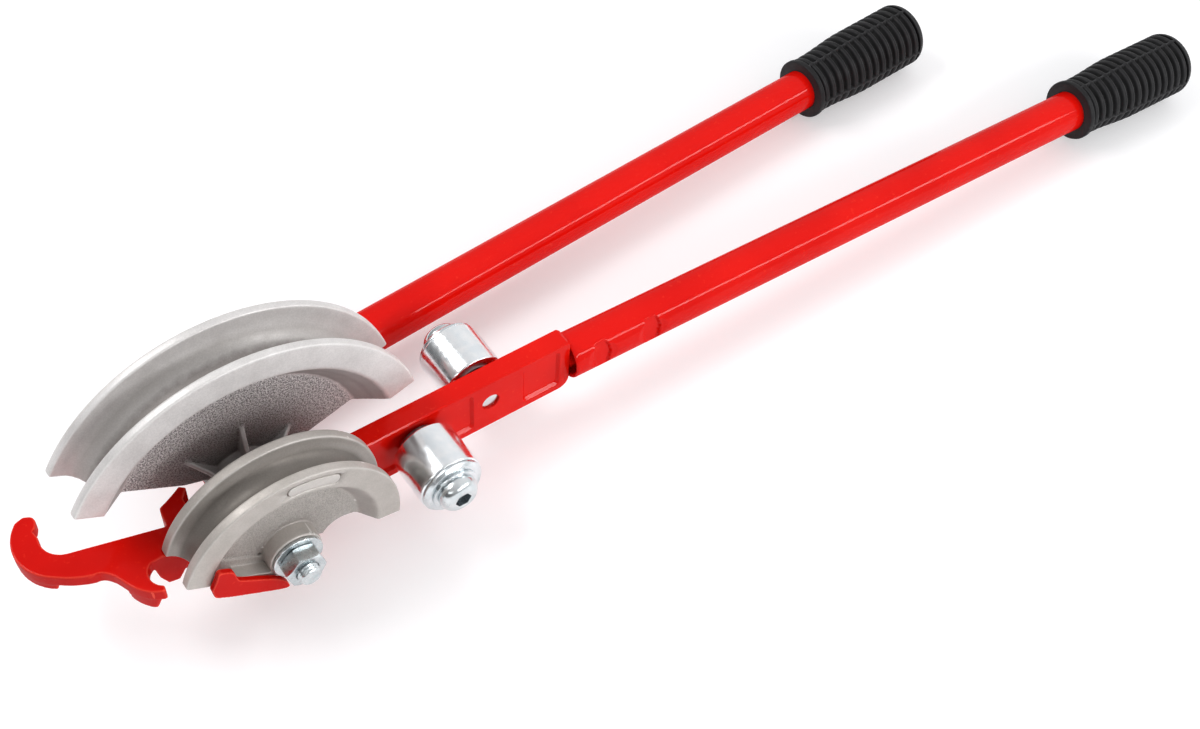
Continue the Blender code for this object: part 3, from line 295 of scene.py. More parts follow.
def to_object(name, shape, matrix=None):
    """Makes an object of a bmesh, with its normals out."""
    bmesh.ops.remove_doubles(shape, verts=shape.verts, dist=WELD)
    bmesh.ops.recalc_face_normals(shape, faces=shape.faces)
    if matrix is not None:
        bmesh.ops.transform(shape, matrix=matrix, verts=shape.verts)
    mesh = bpy.data.meshes.new(name)
    shape.to_mesh(mesh)
    shape.free()
    made = bpy.data.objects.new(name, mesh)
    bpy.context.collection.objects.link(made)
    return made


def drill(radius, low, high, steps=48, matrix=None):
    """A round tool for a bore through what lies between two places."""
    return to_object("bore", turned(ring(0, radius, low - OVERRUN, high + OVERRUN), steps), matrix)


def apply_modifiers(item):
    graph = bpy.context.evaluated_depsgraph_get()
    mesh = bpy.data.meshes.new_from_object(item.evaluated_get(graph))
    item.modifiers.clear()
    item.data = mesh
    return item


def cut(target, tool, operation="DIFFERENCE"):
    """Cuts the tool out of the target, joins it or keeps what they share, and drops the tool."""
    step = target.modifiers.new("cut", "BOOLEAN")
    step.operation = operation
    step.solver = "EXACT"
    step.object = tool
    apply_modifiers(target)
    bpy.data.objects.remove(tool)
    return target


def edge_bevel(target, width, segments=3, angle=radians(30)):
    step = target.modifiers.new("edges", "BEVEL")
    step.width = width
    step.segments = segments
    step.limit_method = "ANGLE"
    step.angle_limit = angle
    return apply_modifiers(target)


def fused(name, parts, cuts, keep, voxel=CAST_VOXEL, smoothing=4):
    """Melts overlapping solids into one casting, with edges a little rounded, as a mould leaves them."""
    shape = bmesh.new()
    for part in parts:
        shape.from_mesh(part.data)
        bpy.data.objects.remove(part)
    made = to_object(name, shape)
    step = made.modifiers.new("melt", "REMESH")
    step.mode = "VOXEL"
    step.voxel_size = voxel
    step = made.modifiers.new("soften", "SMOOTH")
    step.factor = 0.5
    step.iterations = smoothing
    apply_modifiers(made)
    step = made.modifiers.new("thin", "DECIMATE")
    step.ratio = keep
    apply_modifiers(made)
    for tool in cuts:
        cut(made, tool)
    return made


def placed(item, body, node, look, sharp=None):
    """Puts a piece built round the pivot in its place, on its body, standing for its node."""
    item.data.transform(Matrix.Translation(PIVOT))
    item.data.shade_smooth()
    if sharp is not None:
        item.data.set_sharp_from_angle(angle=sharp)
    item.data.materials.clear()
    item.data.materials.append(look)
    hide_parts(node)
    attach(item, body)


# Materials


def add(tree, kind, inputs=None, **settings):
    """Adds a shader node. An input is a value or another node's output."""
    made = tree.nodes.new("ShaderNode" + kind)
    for key, value in settings.items():
        setattr(made, key, value)
    for key, value in (inputs or {}).items():
        if isinstance(value, bpy.types.NodeSocket):
            tree.links.new(value, made.inputs[key])
        else:
            made.inputs[key].default_value = value
    return made


def noise(tree, place, scale, detail, rough=0.5):
    inputs = {"Vector": place, "Scale": scale, "Detail": detail, "Roughness": rough}
    return add(tree, "TexNoise", inputs).outputs[0]


def spread(tree, value, low, high, to_low=0.0, to_high=1.0):
    """Maps one range of a value onto another."""
    inputs = {"Value": value, "From Min": low, "From Max": high, "To Min": to_low, "To Max": to_high}
    return add(tree, "MapRange", inputs).outputs[0]


def cloudy(tree, place, scale, detail, low, high, to_low=0.0, to_high=1.0):
    """Soft patches: one range of a noise mapped onto another."""
    return spread(tree, noise(tree, place, scale, detail), low, high, to_low, to_high)


def within(tree, value, edge, soft):
    """One up to an edge, falling to zero over a soft width."""
    return spread(tree, value, edge, edge + soft, 1.0, 0.0)


def beyond(tree, value, edge, soft):
    """Zero up to an edge, rising to one over a soft width."""
    return spread(tree, value, edge, edge + soft)


def maths(tree, operation, first, second=0.0):
    return add(tree, "Math", {0: first, 1: second}, operation=operation).outputs[0]


def product(tree, first, *others):
    for other in others:
        first = maths(tree, "MULTIPLY", first, other)
    return first


def off_axis(tree, split, x, z):
    """The distance from a line along Y."""
    across = maths(tree, "SUBTRACT", split.outputs[0], x)
    up = maths(tree, "SUBTRACT", split.outputs[2], z)
    return maths(tree, "SQRT", maths(tree, "ADD", product(tree, across, across), product(tree, up, up)))


def mixed(tree, share, first, second):
    return add(tree, "Mix", {0: share, 6: first, 7: second}, data_type="RGBA").outputs[2]


def bump(tree, height, distance, strength=1.0, normal=None):
    inputs = {"Height": height, "Distance": distance, "Strength": strength}
    if normal is not None:
        inputs["Normal"] = normal
    return add(tree, "Bump", inputs).outputs[0]


def new_look(name, **constants):
    look = bpy.data.materials.new(name)
    look.use_nodes = True
    tree = look.node_tree
    shader = tree.nodes["Principled BSDF"]
    for key, value in constants.items():
        shader.inputs[key.replace("_", " ")].default_value = value
    place = add(tree, "TexCoord").outputs["Object"]
    return look, tree, shader, place


def wire(tree, shader, **sources):
    for key, source in sources.items():
        tree.links.new(source, shader.inputs[key.replace("_", " ")])


def painted_shade_and_highlight(tree, colour, crease, crease_end, crease_share, edge, edge_start, edge_share):
    """Darkens a colour in the creases and brightens it on the edges: painted shade in the creases and a
    painted highlight on the edges.
    """
    deepest, sharpest = 0.43, 0.56
    point = add(tree, "NewGeometry").outputs["Pointiness"]
    colour = mixed(tree, spread(tree, point, deepest, crease_end, crease_share, 0.0), colour, crease)
    return mixed(tree, spread(tree, point, edge_start, sharpest, 0.0, edge_share), colour, edge)


def red_paint(name, shine, pale, deep, peel, waves, edge_light_and_crease_shade=0.0):
    """Glossy red enamel over slightly uneven metal, with a painted highlight on its edges and painted shade
    in its creases where asked.
    """
    speck = (0.85, 0.05, 0.02, 1.0)
    # crease is painted shade and edge a painted highlight, laid on only where a share of them is asked for.
    crease = (0.10, 0.001, 0.001, 1.0)
    edge = (0.95, 0.10, 0.06, 1.0)
    look, tree, shader, place = new_look(name, Specular_IOR_Level=0.0, Coat_Weight=shine, Coat_Roughness=0.06)
    colour = mixed(tree, cloudy(tree, place, 22.0, 3.0, 0.35, 0.65), deep, pale)
    colour = mixed(tree, cloudy(tree, place, 420.0, 2.0, 0.64, 0.76, 0.0, 0.25), colour, speck)
    if edge_light_and_crease_shade:
        colour = painted_shade_and_highlight(tree, colour, crease, 0.49, edge_light_and_crease_shade, edge, 0.51, edge_light_and_crease_shade)
    rough = cloudy(tree, place, 70.0, 3.0, 0.3, 0.7, 0.22, 0.34)
    slow = bump(tree, noise(tree, place, 60.0, 2.0), waves)
    skin = bump(tree, noise(tree, place, 700.0, 2.0), peel, normal=slow)
    wire(tree, shader, Base_Color=colour, Roughness=rough, Normal=skin, Coat_Normal=skin)
    return look


def cast_aluminium(name, middle, half_web, hub, web, face, groove, tones, shares):
    """Blasted casting: pale faces, a darker pipe groove and inner wall, both painted shade, and a coarse web
    between hub and rim.

    The web is dull and gritty where it was cored, and painted shade darkens it towards the hub. Creases get
    painted shade, and edges a painted highlight.
    """
    # The first three tones below are painted shade, for the inner wall and for the web near the hub.
    wall_shade_tone = (0.20, 0.175, 0.165, 1.0)
    hub_shade_tone = (0.13, 0.105, 0.10, 1.0)
    web_shade_tone = (0.10, 0.085, 0.08, 1.0)
    # crease is painted shade and edge a painted highlight.
    crease = (0.12, 0.10, 0.09, 1.0)
    edge = (0.83, 0.81, 0.79, 1.0)
    blend = 1.0 * MM
    inner = hub + blend
    outer = web + blend
    look, tree, shader, place = new_look(name, Specular_IOR_Level=0.35)
    split = add(tree, "SeparateXYZ", {0: place})
    wobble = product(tree, noise(tree, place, 260.0, 2.0), 1.6 * MM)
    radius = maths(tree, "ADD", off_axis(tree, split, 0.0, PIVOT.z), wobble)
    deep = maths(tree, "ABSOLUTE", maths(tree, "SUBTRACT", split.outputs[1], middle))
    in_web = within(tree, deep, half_web + 0.3 * MM, 1.3 * MM)
    past_hub = beyond(tree, radius, inner, 2.0 * MM)
    before_rim = within(tree, radius, outer - 2.0 * MM, 3.0 * MM)
    cored = product(tree, in_web, past_hub, before_rim)
    past_core = beyond(tree, radius, outer, 1.5 * MM)
    before_face = within(tree, radius, face - 1.0 * MM, 1.6 * MM)
    wall = product(tree, past_core, before_face)
    in_groove = within(tree, deep, groove - 1.5 * MM, 1.7 * MM)
    past_web = beyond(tree, radius, outer + 6.0 * MM, 2.0 * MM)
    trough = product(tree, in_groove, past_web)

    mottle = spread(tree, noise(tree, place, 55.0, 4.0, 0.6), 0.35, 0.68)
    colour = mixed(tree, mottle, tones["dark"], tones["pale"])
    # Painted shade: the groove's bed is darkened.
    colour = mixed(tree, product(tree, trough, shares["groove_shade"]), colour, tones["groove_shade"])
    grit = noise(tree, place, 1150.0, 3.0, 0.7)
    gritty = mixed(tree, spread(tree, grit, 0.42, 0.58), tones["gritty_dark"], tones["gritty_pale"])
    colour = mixed(tree, product(tree, cored, shares["web"]), colour, gritty)
    # Painted shade: the sloping inner wall is darkened.
    colour = mixed(tree, product(tree, wall, shares["wall"]), colour, wall_shade_tone)
    # Painted shade: darker towards the hub, over the web and all near it.
    hub_shade = spread(tree, radius, inner + 2.0 * MM, outer, shares["hub_shade"], 0.0)
    colour = mixed(tree, hub_shade, colour, hub_shade_tone)
    web_shade_end = inner + (outer - inner) * 0.75
    web_shade = product(tree, in_web, spread(tree, radius, inner, web_shade_end, shares["web_shade"], 0.0))
    colour = mixed(tree, web_shade, colour, web_shade_tone)
    grain = maths(tree, "ADD", cloudy(tree, place, 1300.0, 2.0, 0.36, 0.66, -0.05, 0.05), 1.0)
    colour = add(tree, "HueSaturation", {"Value": grain, "Color": colour}).outputs[0]
    # Painted shade in the creases and a painted highlight on the edges.
    colour = painted_shade_and_highlight(tree, colour, crease, 0.485, 0.65, edge, 0.515, 0.5)

    rough = cloudy(tree, place, 180.0, 3.0, 0.3, 0.7, 0.42, 0.56)
    metal = spread(tree, maths(tree, "MAXIMUM", cored, wall), 0.0, 1.0, 0.4, 0.2)
    slow = bump(tree, noise(tree, place, 120.0, 3.0), 0.25 * MM, 0.6)
    fine = bump(tree, noise(tree, place, 1500.0, 2.0), 0.06 * MM, 0.9, slow)
    coarse = bump(tree, product(tree, grit, cored), 0.9 * MM, 1.0, fine)
    wire(tree, shader, Base_Color=colour, Roughness=rough, Metallic=metal, Normal=coarse)
    return look


def bright_metal(name, pale, dull, smooth, rough, line=0.003 * MM, sockets=()):
    """Plated steel: faint turning lines, cloudy tint, a few duller patches, and painted shade in the screw
    sockets.
    """
    socket_reach = 4.9 * MM
    socket_rim = 0.35 * MM
    socket_shade_tone = (0.30, 0.33, 0.35, 1.0)
    look, tree, shader, place = new_look(name, Metallic=1.0)
    colour = mixed(tree, cloudy(tree, place, 140.0, 3.0, 0.35, 0.65), pale, dull)
    shine = cloudy(tree, place, 320.0, 3.0, 0.3, 0.7, smooth, rough)
    split = add(tree, "SeparateXYZ", {0: place})
    # Painted shade: the inside of each screw socket is darkened.
    for axle, end in sockets:
        away = off_axis(tree, split, axle.x, axle.z + PIVOT.z)
        deep = maths(tree, "SUBTRACT", abs(end), maths(tree, "ABSOLUTE", split.outputs[1]))
        near = maths(tree, "LESS_THAN", away, socket_reach)
        sunk = maths(tree, "GREATER_THAN", deep, socket_rim)
        this_side = maths(tree, "GREATER_THAN", product(tree, split.outputs[1], end), 0.0)
        colour = mixed(tree, product(tree, near, sunk, this_side), colour, socket_shade_tone)
    stretch = add(tree, "Mapping", {"Vector": place, "Scale": (8.0, 5200.0, 8.0)}).outputs[0]
    lines = bump(tree, noise(tree, stretch, 1.0, 2.0), line, 0.5)
    pits = bump(tree, noise(tree, place, 1100.0, 2.0), 0.012 * MM, 0.5, lines)
    wire(tree, shader, Base_Color=colour, Roughness=shine, Normal=pits)
    return look


def black_rubber(name):
    """Matt rubber with a little dust, a painted highlight on the ribs' crests and painted shade between them.
    """
    # crease is painted shade between the ribs and edge a painted highlight on their crests.
    crease = (0.001, 0.001, 0.001, 1.0)
    edge = (0.034, 0.034, 0.036, 1.0)
    look, tree, shader, place = new_look(name, Specular_IOR_Level=0.2)
    dust = cloudy(tree, place, 90.0, 4.0, 0.35, 0.7)
    colour = mixed(tree, dust, (0.003, 0.003, 0.0034, 1.0), (0.008, 0.008, 0.009, 1.0))
    colour = painted_shade_and_highlight(tree, colour, crease, 0.50, 0.9, edge, 0.505, 0.8)
    rough = cloudy(tree, place, 400.0, 2.0, 0.3, 0.7, 0.45, 0.62)
    grain = bump(tree, noise(tree, place, 1600.0, 2.0), 0.06 * MM, 0.7)
    wire(tree, shader, Base_Color=colour, Roughness=rough, Normal=grain)
    return look


tube_red = red_paint(
    "red_enamel_tube", 0.26, pale=(0.71, 0.006, 0.003, 1.0), deep=(0.65, 0.004, 0.002, 1.0),
    peel=0.012 * MM, waves=0.04 * MM,
)
# The casting's red is darker than the tube's and the bar's: painted shade, for the plate that lies more in
# shade.
shaded_cast_red = red_paint(
    "red_enamel_casting", 0.22, pale=(0.60, 0.004, 0.002, 1.0), deep=(0.52, 0.003, 0.001, 1.0),
    peel=0.02 * MM, waves=0.12 * MM, edge_light_and_crease_shade=0.7,
)
bar_red = red_paint(
    "red_enamel_bar", 0.26, pale=(0.72, 0.007, 0.003, 1.0), deep=(0.64, 0.005, 0.002, 1.0),
    peel=0.015 * MM, waves=0.06 * MM,
)
large_cast = cast_aluminium(
    "cast_aluminium_large", LARGE_MIDDLE, LARGE_WEB_WALL / 2, LARGE_HUB, LARGE_WEB, LARGE_FACE, LARGE_GROOVE,
    tones={
        "dark": (0.62, 0.60, 0.59, 1.0), "pale": (0.73, 0.71, 0.70, 1.0), "groove_shade": (0.38, 0.36, 0.34, 1.0),
        "gritty_dark": (0.06, 0.05, 0.05, 1.0), "gritty_pale": (0.82, 0.79, 0.78, 1.0),
    },
    shares={"web": 0.85, "groove_shade": 0.6, "web_shade": 0.75, "wall": 0.7, "hub_shade": 0.7},
)
small_cast = cast_aluminium(
    "cast_aluminium_small", SMALL_MIDDLE, SMALL_WEB_WALL / 2, SMALL_HUB, SMALL_WEB, SMALL_FACE, SMALL_GROOVE,
    tones={
        "dark": (0.42, 0.39, 0.36, 1.0), "pale": (0.50, 0.465, 0.435, 1.0), "groove_shade": (0.13, 0.115, 0.10, 1.0),
        "gritty_dark": (0.30, 0.28, 0.26, 1.0), "gritty_pale": (0.56, 0.53, 0.50, 1.0),
    },
    shares={"web": 0.45, "groove_shade": 0.8, "web_shade": 0.25, "wall": 0.35, "hub_shade": 0.0},
)
zinc = bright_metal("bright_zinc", (0.92, 0.93, 0.94, 1.0), (0.82, 0.86, 0.89, 1.0), 0.14, 0.26)
screw_zinc = bright_metal(
    "bright_zinc_screws", (0.72, 0.75, 0.76, 1.0), (0.56, 0.61, 0.63, 1.0), 0.16, 0.28,
    sockets=((NEAR_AXLE, -NEAR_SCREW_TOP), (FAR_AXLE, FAR_SCREW_TOP)),
)
# A copy of the zinc for the pivot's nut, washers and bolt: its darker colour is painted shade, its greater
# roughness real.
dull_shaded_zinc = bright_metal("dull_shaded_zinc", (0.66, 0.70, 0.71, 1.0), (0.50, 0.55, 0.57, 1.0), 0.20, 0.36)
soft_zinc = bright_metal("soft_zinc", (0.76, 0.79, 0.81, 1.0), (0.58, 0.63, 0.65, 1.0), 0.18, 0.30)
steel = bright_metal("plain_steel", (0.42, 0.42, 0.43, 1.0), (0.30, 0.30, 0.31, 1.0), 0.28, 0.45, 0.01 * MM)
rubber = black_rubber("black_rubber")


# Formers


def along_cut(reach, rise):
    """A point given along and square to the line that both formers' left ends are cut on."""
    return (
        reach * cos(CUT_ANGLE) + rise * sin(CUT_ANGLE),
        reach * sin(CUT_ANGLE) - rise * cos(CUT_ANGLE),
    )


LUG_REACH = 56.0 * MM
LUG_ROOT = 39.0 * MM
LUG_END = along_cut(LUG_REACH, BELOW_CUT)[0]
LUG_TOP = LUG_END - 7.0 * MM
LUG_BACK = along_cut(LUG_ROOT, BELOW_CUT - 18.7 * MM)
LUG_LOW = along_cut(44.5 * MM, BELOW_CUT - 20.5 * MM)


def former_section(rim, face, web, width, wall, hub, groove, bend, middle):
    """Grooved rim with eased lips, sloping inner walls that run into a thin web, and the web into the hub."""
    half = width / 2
    thin = wall / 2
    ease = 0.9 * MM
    blend = 3.5 * MM
    root = hub * 0.7
    bottom = arc((bend, middle), groove, pi / 2, 3 * pi / 2, 28)
    points = [
        (root, middle + thin), (web, middle + thin), (face, middle + half), (rim, middle + half),
        (rim, middle + groove), *bottom, (rim, middle - groove),
        (rim, middle - half), (face, middle - half), (web, middle - thin), (root, middle - thin),
    ]
    rounds = [0, blend, ease * 2, ease, ease] + [0] * len(bottom) + [ease, ease, ease * 2, blend, 0]
    return polygon_rounded(points, rounds)


def plain_hub(radius, low, high):
    eased_edge = 0.8 * MM
    return edge_bevel(to_object("hub", turned(ring(0, radius, low, high))), eased_edge)


def large_former():
    section = former_section(
        LARGE_RIM, LARGE_FACE, LARGE_WEB, LARGE_WIDTH, LARGE_WEB_WALL, LARGE_HUB, LARGE_GROOVE, LARGE_BEND,
        LARGE_MIDDLE,
    )
    reach = LARGE_RIM * 2
    right_foot = LARGE_RIGHT_DROP / cos(LARGE_RIGHT_ANGLE)
    right_end = (reach * cos(LARGE_RIGHT_ANGLE), reach * sin(LARGE_RIGHT_ANGLE) - right_foot)
    wedge = [
        (0, -right_foot), right_end, (reach, reach), (-reach, reach),
        along_cut(reach, -LARGE_CUT_DROP), along_cut(0, -LARGE_CUT_DROP),
    ]
    sector = to_object("sector", prism(wedge, GAP_FAR - OVERRUN, LARGE_FAR + OVERRUN))
    rim = cut(to_object("rim", swept(section, *LARGE_SWEEP)), sector, "INTERSECT")
    parts = [rim, plain_hub(LARGE_HUB, GAP_FAR, LARGE_FAR)]
    web_near = LARGE_MIDDLE - LARGE_WEB_WALL / 2
    root = LARGE_HUB - OVERRUN
    low = GAP_FAR + OVERRUN
    shoulder = (LARGE_HUB + 9.0 * MM, GAP_FAR + 8.2 * MM)
    for index, end in enumerate(GUSSETS):
        ridge = [
            (root, low), (LARGE_HUB + SEAT, low), shoulder, (end, web_near), (end, LARGE_MIDDLE),
            (root, LARGE_MIDDLE),
        ]
        turn = Matrix.Rotation(-(GUSSET_FIRST + GUSSET_PITCH * index), 4, "Y")
        gusset = to_object("gusset", prism(ridge, -GUSSET_THICK / 2, GUSSET_THICK / 2, "Z"), turn)
        parts.append(edge_bevel(gusset, GUSSET_ROUND))
    bore = drill(BOLT_BORE, GAP_FAR, LARGE_FAR)
    made = fused("large_former_casting", parts, [bore], keep=0.3)
    placed(made, "head", "large_former", large_cast)


def pad_outline(half):
    """The long rounded pad on the small former's rim."""
    middle = (SMALL_RIM + SMALL_FACE) / 2
    first, last = PAD_ENDS
    first_end = (middle * cos(first), middle * sin(first))
    last_end = (middle * cos(last), middle * sin(last))
    outer = arc((0, 0), middle + half, first, last, 16)
    inner = arc((0, 0), middle - half, last, first, 16)
    last_round = arc(last_end, half, last, last + pi, 12)[1:-1]
    first_round = arc(first_end, half, first + pi, first + 2 * pi, 12)[1:-1]
    return outer + last_round + inner + first_round


def small_former():
    section = former_section(
        SMALL_RIM, SMALL_FACE, SMALL_WEB, SMALL_WIDTH, SMALL_WEB_WALL, SMALL_HUB, SMALL_GROOVE, SMALL_BEND,
        SMALL_MIDDLE,
    )
    reach = SMALL_RIM * 2
    right_face = (SMALL_FACE * cos(SMALL_RIGHT_ANGLE), SMALL_FACE * sin(SMALL_RIGHT_ANGLE))
    right_far = (reach * cos(SMALL_RIGHT_ANGLE), reach * sin(SMALL_RIGHT_ANGLE))
    hollow_shares = [(0.27, -0.25), (0.30, -0.19), (0.37, -0.095), (0.49, -0.05), (0.61, -0.075)]
    wedge = smoothed(by_share((0, 0), SMALL_RIM, hollow_shares)) + [
        right_face, right_far, (reach, reach), (-reach, reach),
        along_cut(reach, -SMALL_CUT_DROP), along_cut(0, -SMALL_CUT_DROP),
    ]
    sector = to_object("sector", prism(wedge, SMALL_NEAR - OVERRUN, GAP_NEAR + OVERRUN))
    rim = cut(to_object("rim", swept(section, *SMALL_SWEEP)), sector, "INTERSECT")
    parts = [rim, plain_hub(SMALL_HUB, SMALL_NEAR, GAP_NEAR)]
    web_near = SMALL_MIDDLE - SMALL_WEB_WALL / 2
    low = SEAT - SMALL_CUT_DROP
    for length, thick, tall in EDGE_RIBS:
        outline = [along_cut(*corner) for corner in ring(0, length, low, low + thick)]
        parts.append(to_object("edge_rib", prism(outline, web_near - tall, SMALL_MIDDLE)))
    bore = drill(BOLT_BORE, SMALL_NEAR, GAP_NEAR)
    moat = to_object("moat", prism(pad_outline(MOAT_HALF), SMALL_NEAR - OVERRUN, SMALL_NEAR + MOAT_DEPTH))
    made = fused("small_former_casting", parts, [bore, moat], keep=0.35, voxel=SMALL_VOXEL)
    pad = to_object("pad", prism(pad_outline(PAD_HALF), SMALL_NEAR - PAD_HEIGHT, SMALL_NEAR + OVERRUN))
    cut(made, edge_bevel(pad, PAD_ROUND, 2), "UNION")
    placed(made, "head", "small_former", small_cast)


# Hook casting


def handle_frame(start, splay, drop):
    """Takes a piece turned about Y, growing towards +Y, onto a handle's axis that leaves along +X."""
    aim = Matrix.Rotation(splay, 4, "Z") @ Matrix.Rotation(drop, 4, "Y")
    return Matrix.Translation(start) @ aim @ Matrix.Rotation(-pi / 2, 4, "Z")


FIXED_FRAME = handle_frame(FIXED_ROOT, FIXED_SPLAY, FIXED_DROP)
LEVER_FRAME = handle_frame(LEVER_ROOT, 0, LEVER_DROP)


def hook_outline():
    """The plate from above: large hook, near edge, small hook, and the arm back towards the pivot."""
    tip_shares = [(-0.455, 0.375), (-0.40, 0.40), (-0.345, 0.47), (-0.30, 0.59), (-0.34, 0.71), (-0.49, 0.79)]
    near_edge_shares = [(0.32, 0.39), (0.645, 0.65), (0.857, 0.74)]
    small_back_shares = [
        (-1.54, 0.76), (-1.41, 0.50), (-1.16, -0.04), (-0.80, -0.48), (-0.43, -0.69), (-0.31, -0.67),
    ]
    plate_step = -11.8 * MM
    large_back = arc(LARGE_HOOK, HOOK, radians(128), radians(232), 24)
    small_back = by_share(SMALL_THROAT, SMALL_HOOK, small_back_shares)
    first, last = large_back[-1], small_back[0]
    near_edge = [
        (first[0] + (last[0] - first[0]) * across, first[1] + (last[1] - first[1]) * along)
        for across, along in near_edge_shares
    ]
    return (
        smoothed(by_share(LARGE_HOOK, HOOK, tip_shares))
        + large_back[1:]
        + smoothed([first] + near_edge + small_back)[1:]
        + arc(SMALL_THROAT, SMALL_GROOVE, radians(240), radians(115), 21)
        + [(LUG_END, plate_step), (LUG_END, EYE_NEAR), (ARM_END, EYE_NEAR), (ARM_END, ARM_FAR)]
        + arc(LARGE_THROAT, LARGE_GROOVE, radians(256), radians(160), 24)
    )


def hook_plate():
    """The plate and the two thickened ends under it."""
    edge = 1.0 * MM
    deep_depth = 17.3 * MM
    boss_depth = 11.5 * MM
    boss_wall = 8.0 * MM
    plate = edge_bevel(to_object("plate", prism(hook_outline(), PLATE_TOP - PLATE, PLATE_TOP, "Z")), edge)
    low_shares = [
        (-1.21, 0.34), (-1.04, -0.02), (-0.80, -0.33), (-0.64, -0.39), (-0.60, -0.18), (-0.68, 0.14),
        (-0.84, 0.39),
    ]
    high_shares = [
        (-1.385, 0.50), (-1.13, -0.03), (-0.79, -0.44), (-0.415, -0.645), (-0.37, -0.475), (-0.59, 0.07),
        (-0.64, 0.43),
    ]
    inside = PLATE_TOP - PLATE / 2
    levels = ((low_shares, PLATE_TOP - deep_depth), (high_shares, inside))
    deep = lofted([
        [(x, y, level) for x, y in smooth_loop(by_share(SMALL_THROAT, SMALL_HOOK, shares))]
        for shares, level in levels
    ])
    outer = arc(LARGE_HOOK, HOOK - SEAT, radians(172), radians(238), 20)
    inner = arc(LARGE_HOOK, HOOK - boss_wall, radians(238), radians(172), 20)
    boss = to_object("back_boss", prism(outer + inner, PLATE_TOP - boss_depth, inside, "Z"))
    return [plate, to_object("deep_hook", deep), boss]


def hook_lugs():
    """The lugs in both formers' recesses, and the bar across below the cut to the toe."""
    tuck = 0.4 * MM
    far_lug_size = 17.5 * MM
    far_lug_depth = 15.0 * MM
    flange_near = -12.0 * MM
    bar_near, bar_far = 28.0 * MM, 37.5 * MM
    bar_thick = 4.5 * MM
    toe_length = 44.0 * MM
    toe_thick = 3.4 * MM
    under_top = PLATE_TOP - tuck / 2
    far_shares = [
        (0.66, 0.36), (0.65, 0.60), (0.88, 0.88), (0.72, 1.02), (0.49, 0.89), (0.24, 0.77), (-0.02, 0.66),
        (-0.06, 0.50),
    ]
    far_lug = by_share((ARM_END, ARM_FAR), far_lug_size, far_shares)
    far_lug += [(ARM_END - OVERRUN, 0), (ARM_END - tuck, 0)]
    far_lug = to_object("far_lug", prism(far_lug, PLATE_TOP - far_lug_depth, under_top, "Z"))
    flange = [
        (LUG_TOP, under_top), (LUG_END, under_top), along_cut(LUG_ROOT, BELOW_CUT), LUG_BACK, LUG_LOW,
        along_cut(51.0 * MM, BELOW_CUT - 16.1 * MM),
    ]
    flange_lug = to_object("flange_lug", prism(flange, flange_near, EYE_NEAR + OVERRUN))
    toe_back = SMALL_NEAR - SEAT
    bar_top = BELOW_CUT - tuck
    across = [along_cut(*corner) for corner in ring(bar_near, bar_far, bar_top - bar_thick, bar_top)]
    crossbar = to_object("crossbar", prism(across, toe_back - OVERRUN, EYE_NEAR + OVERRUN / 2))
    toe_shares = [
        (1.0, -0.31), (1.01, -0.164), (1.03, -0.045), (0.95, -0.03), (0.84, -0.05), (0.73, -0.17),
        (0.66, -0.20), (0.45, -0.225), (0.20, -0.262), (0.05, -0.315), (-0.03, -0.375), (-0.03, -0.445),
        (0.40, -0.45), (0.86, -0.432), (0.95, -0.37),
    ]
    toe = smooth_loop([along_cut(*corner) for corner in by_share((0, 0), toe_length, toe_shares)], 3)
    toe = to_object("toe", prism(toe, toe_back - toe_thick, toe_back))
    return [far_lug, flange_lug, crossbar, toe]


def hook_frame():
    tuck = 0.4 * MM
    rib_top = PLATE_TOP - 1.8 * MM
    rib_left = ARM_END - 1.0 * MM
    rib_foot = -8.0 * MM
    foot_root = FOOT_TOP - OVERRUN
    rib = [
        (LUG_TOP, rib_top), (rib_left, rib_top), (-EYE * 0.9, -EYE * 0.3), (EYE * 0.8, -EYE * 0.4),
        (EYE * 0.8, foot_root), (rib_foot, foot_root), LUG_BACK, LUG_LOW,
    ]
    web = to_object("web", prism(rib, EYE_NEAR + tuck, EYE_FAR - tuck))
    eye_lip = 1.6 * MM
    eye_bore = 9.2 * MM
    eye = to_object("eye", turned(ring(0, EYE - eye_lip, EYE_NEAR, EYE_FAR)))
    left = -10.0 * MM
    right_bottom, right_top = 22.0 * MM, 18.0 * MM
    foot_near, foot_far = -9.5 * MM, 80.0 * MM
    foot = [(left, FOOT_BOTTOM), (right_bottom, FOOT_BOTTOM), (right_top, FOOT_TOP), (left, FOOT_TOP)]
    foot = to_object("foot", prism(foot, foot_near, foot_far))
    boss = 13.5 * MM
    boss_low = -59.5 * MM
    spigot = [
        (0, boss_low), (boss, boss_low), (boss, -SEAT), (SPIGOT, -SEAT), (SPIGOT, SPIGOT_LENGTH),
        (0, SPIGOT_LENGTH),
    ]
    peg = to_object("peg", turned(spigot), FIXED_FRAME)
    parts = hook_plate() + [web, eye, foot, peg] + hook_lugs()
    bore = drill(eye_bore, EYE_NEAR, EYE_FAR, 64)
    made = fused("hook_casting", parts, [bore], keep=0.3, voxel=HOOK_VOXEL, smoothing=5)
    placed(made, "head", "hook_frame", shaded_cast_red)


# Lever bar, handles and grips


def eased(value):
    """A smooth step from 0 to 1."""
    value = min(1, max(0, value))
    return value * value * (3 - 2 * value)


def panel_tool(start, end, side):
    """A shallow tray with sloped walls, a flat floor and a faint rim, for cutting out of the bar's face."""
    face = side * BAR / 2
    rim = 0.05 * MM
    flare = 0.9 * MM
    levels = ((PANEL_DEPTH, PANEL_SLOPE), (rim, 0), (0, -rim), (-OVERRUN, -flare))
    rings = []
    for depth, inset in levels:
        corners = ring(start + inset, end - inset, PANEL_LOW + inset, PANEL_HIGH - inset)
        outline = polygon_rounded(corners, [PANEL_ROUND - inset] * 4, 5)
        rings.append([(x, face - side * depth, z) for x, z in outline])
    return to_object("panel", lofted(rings))


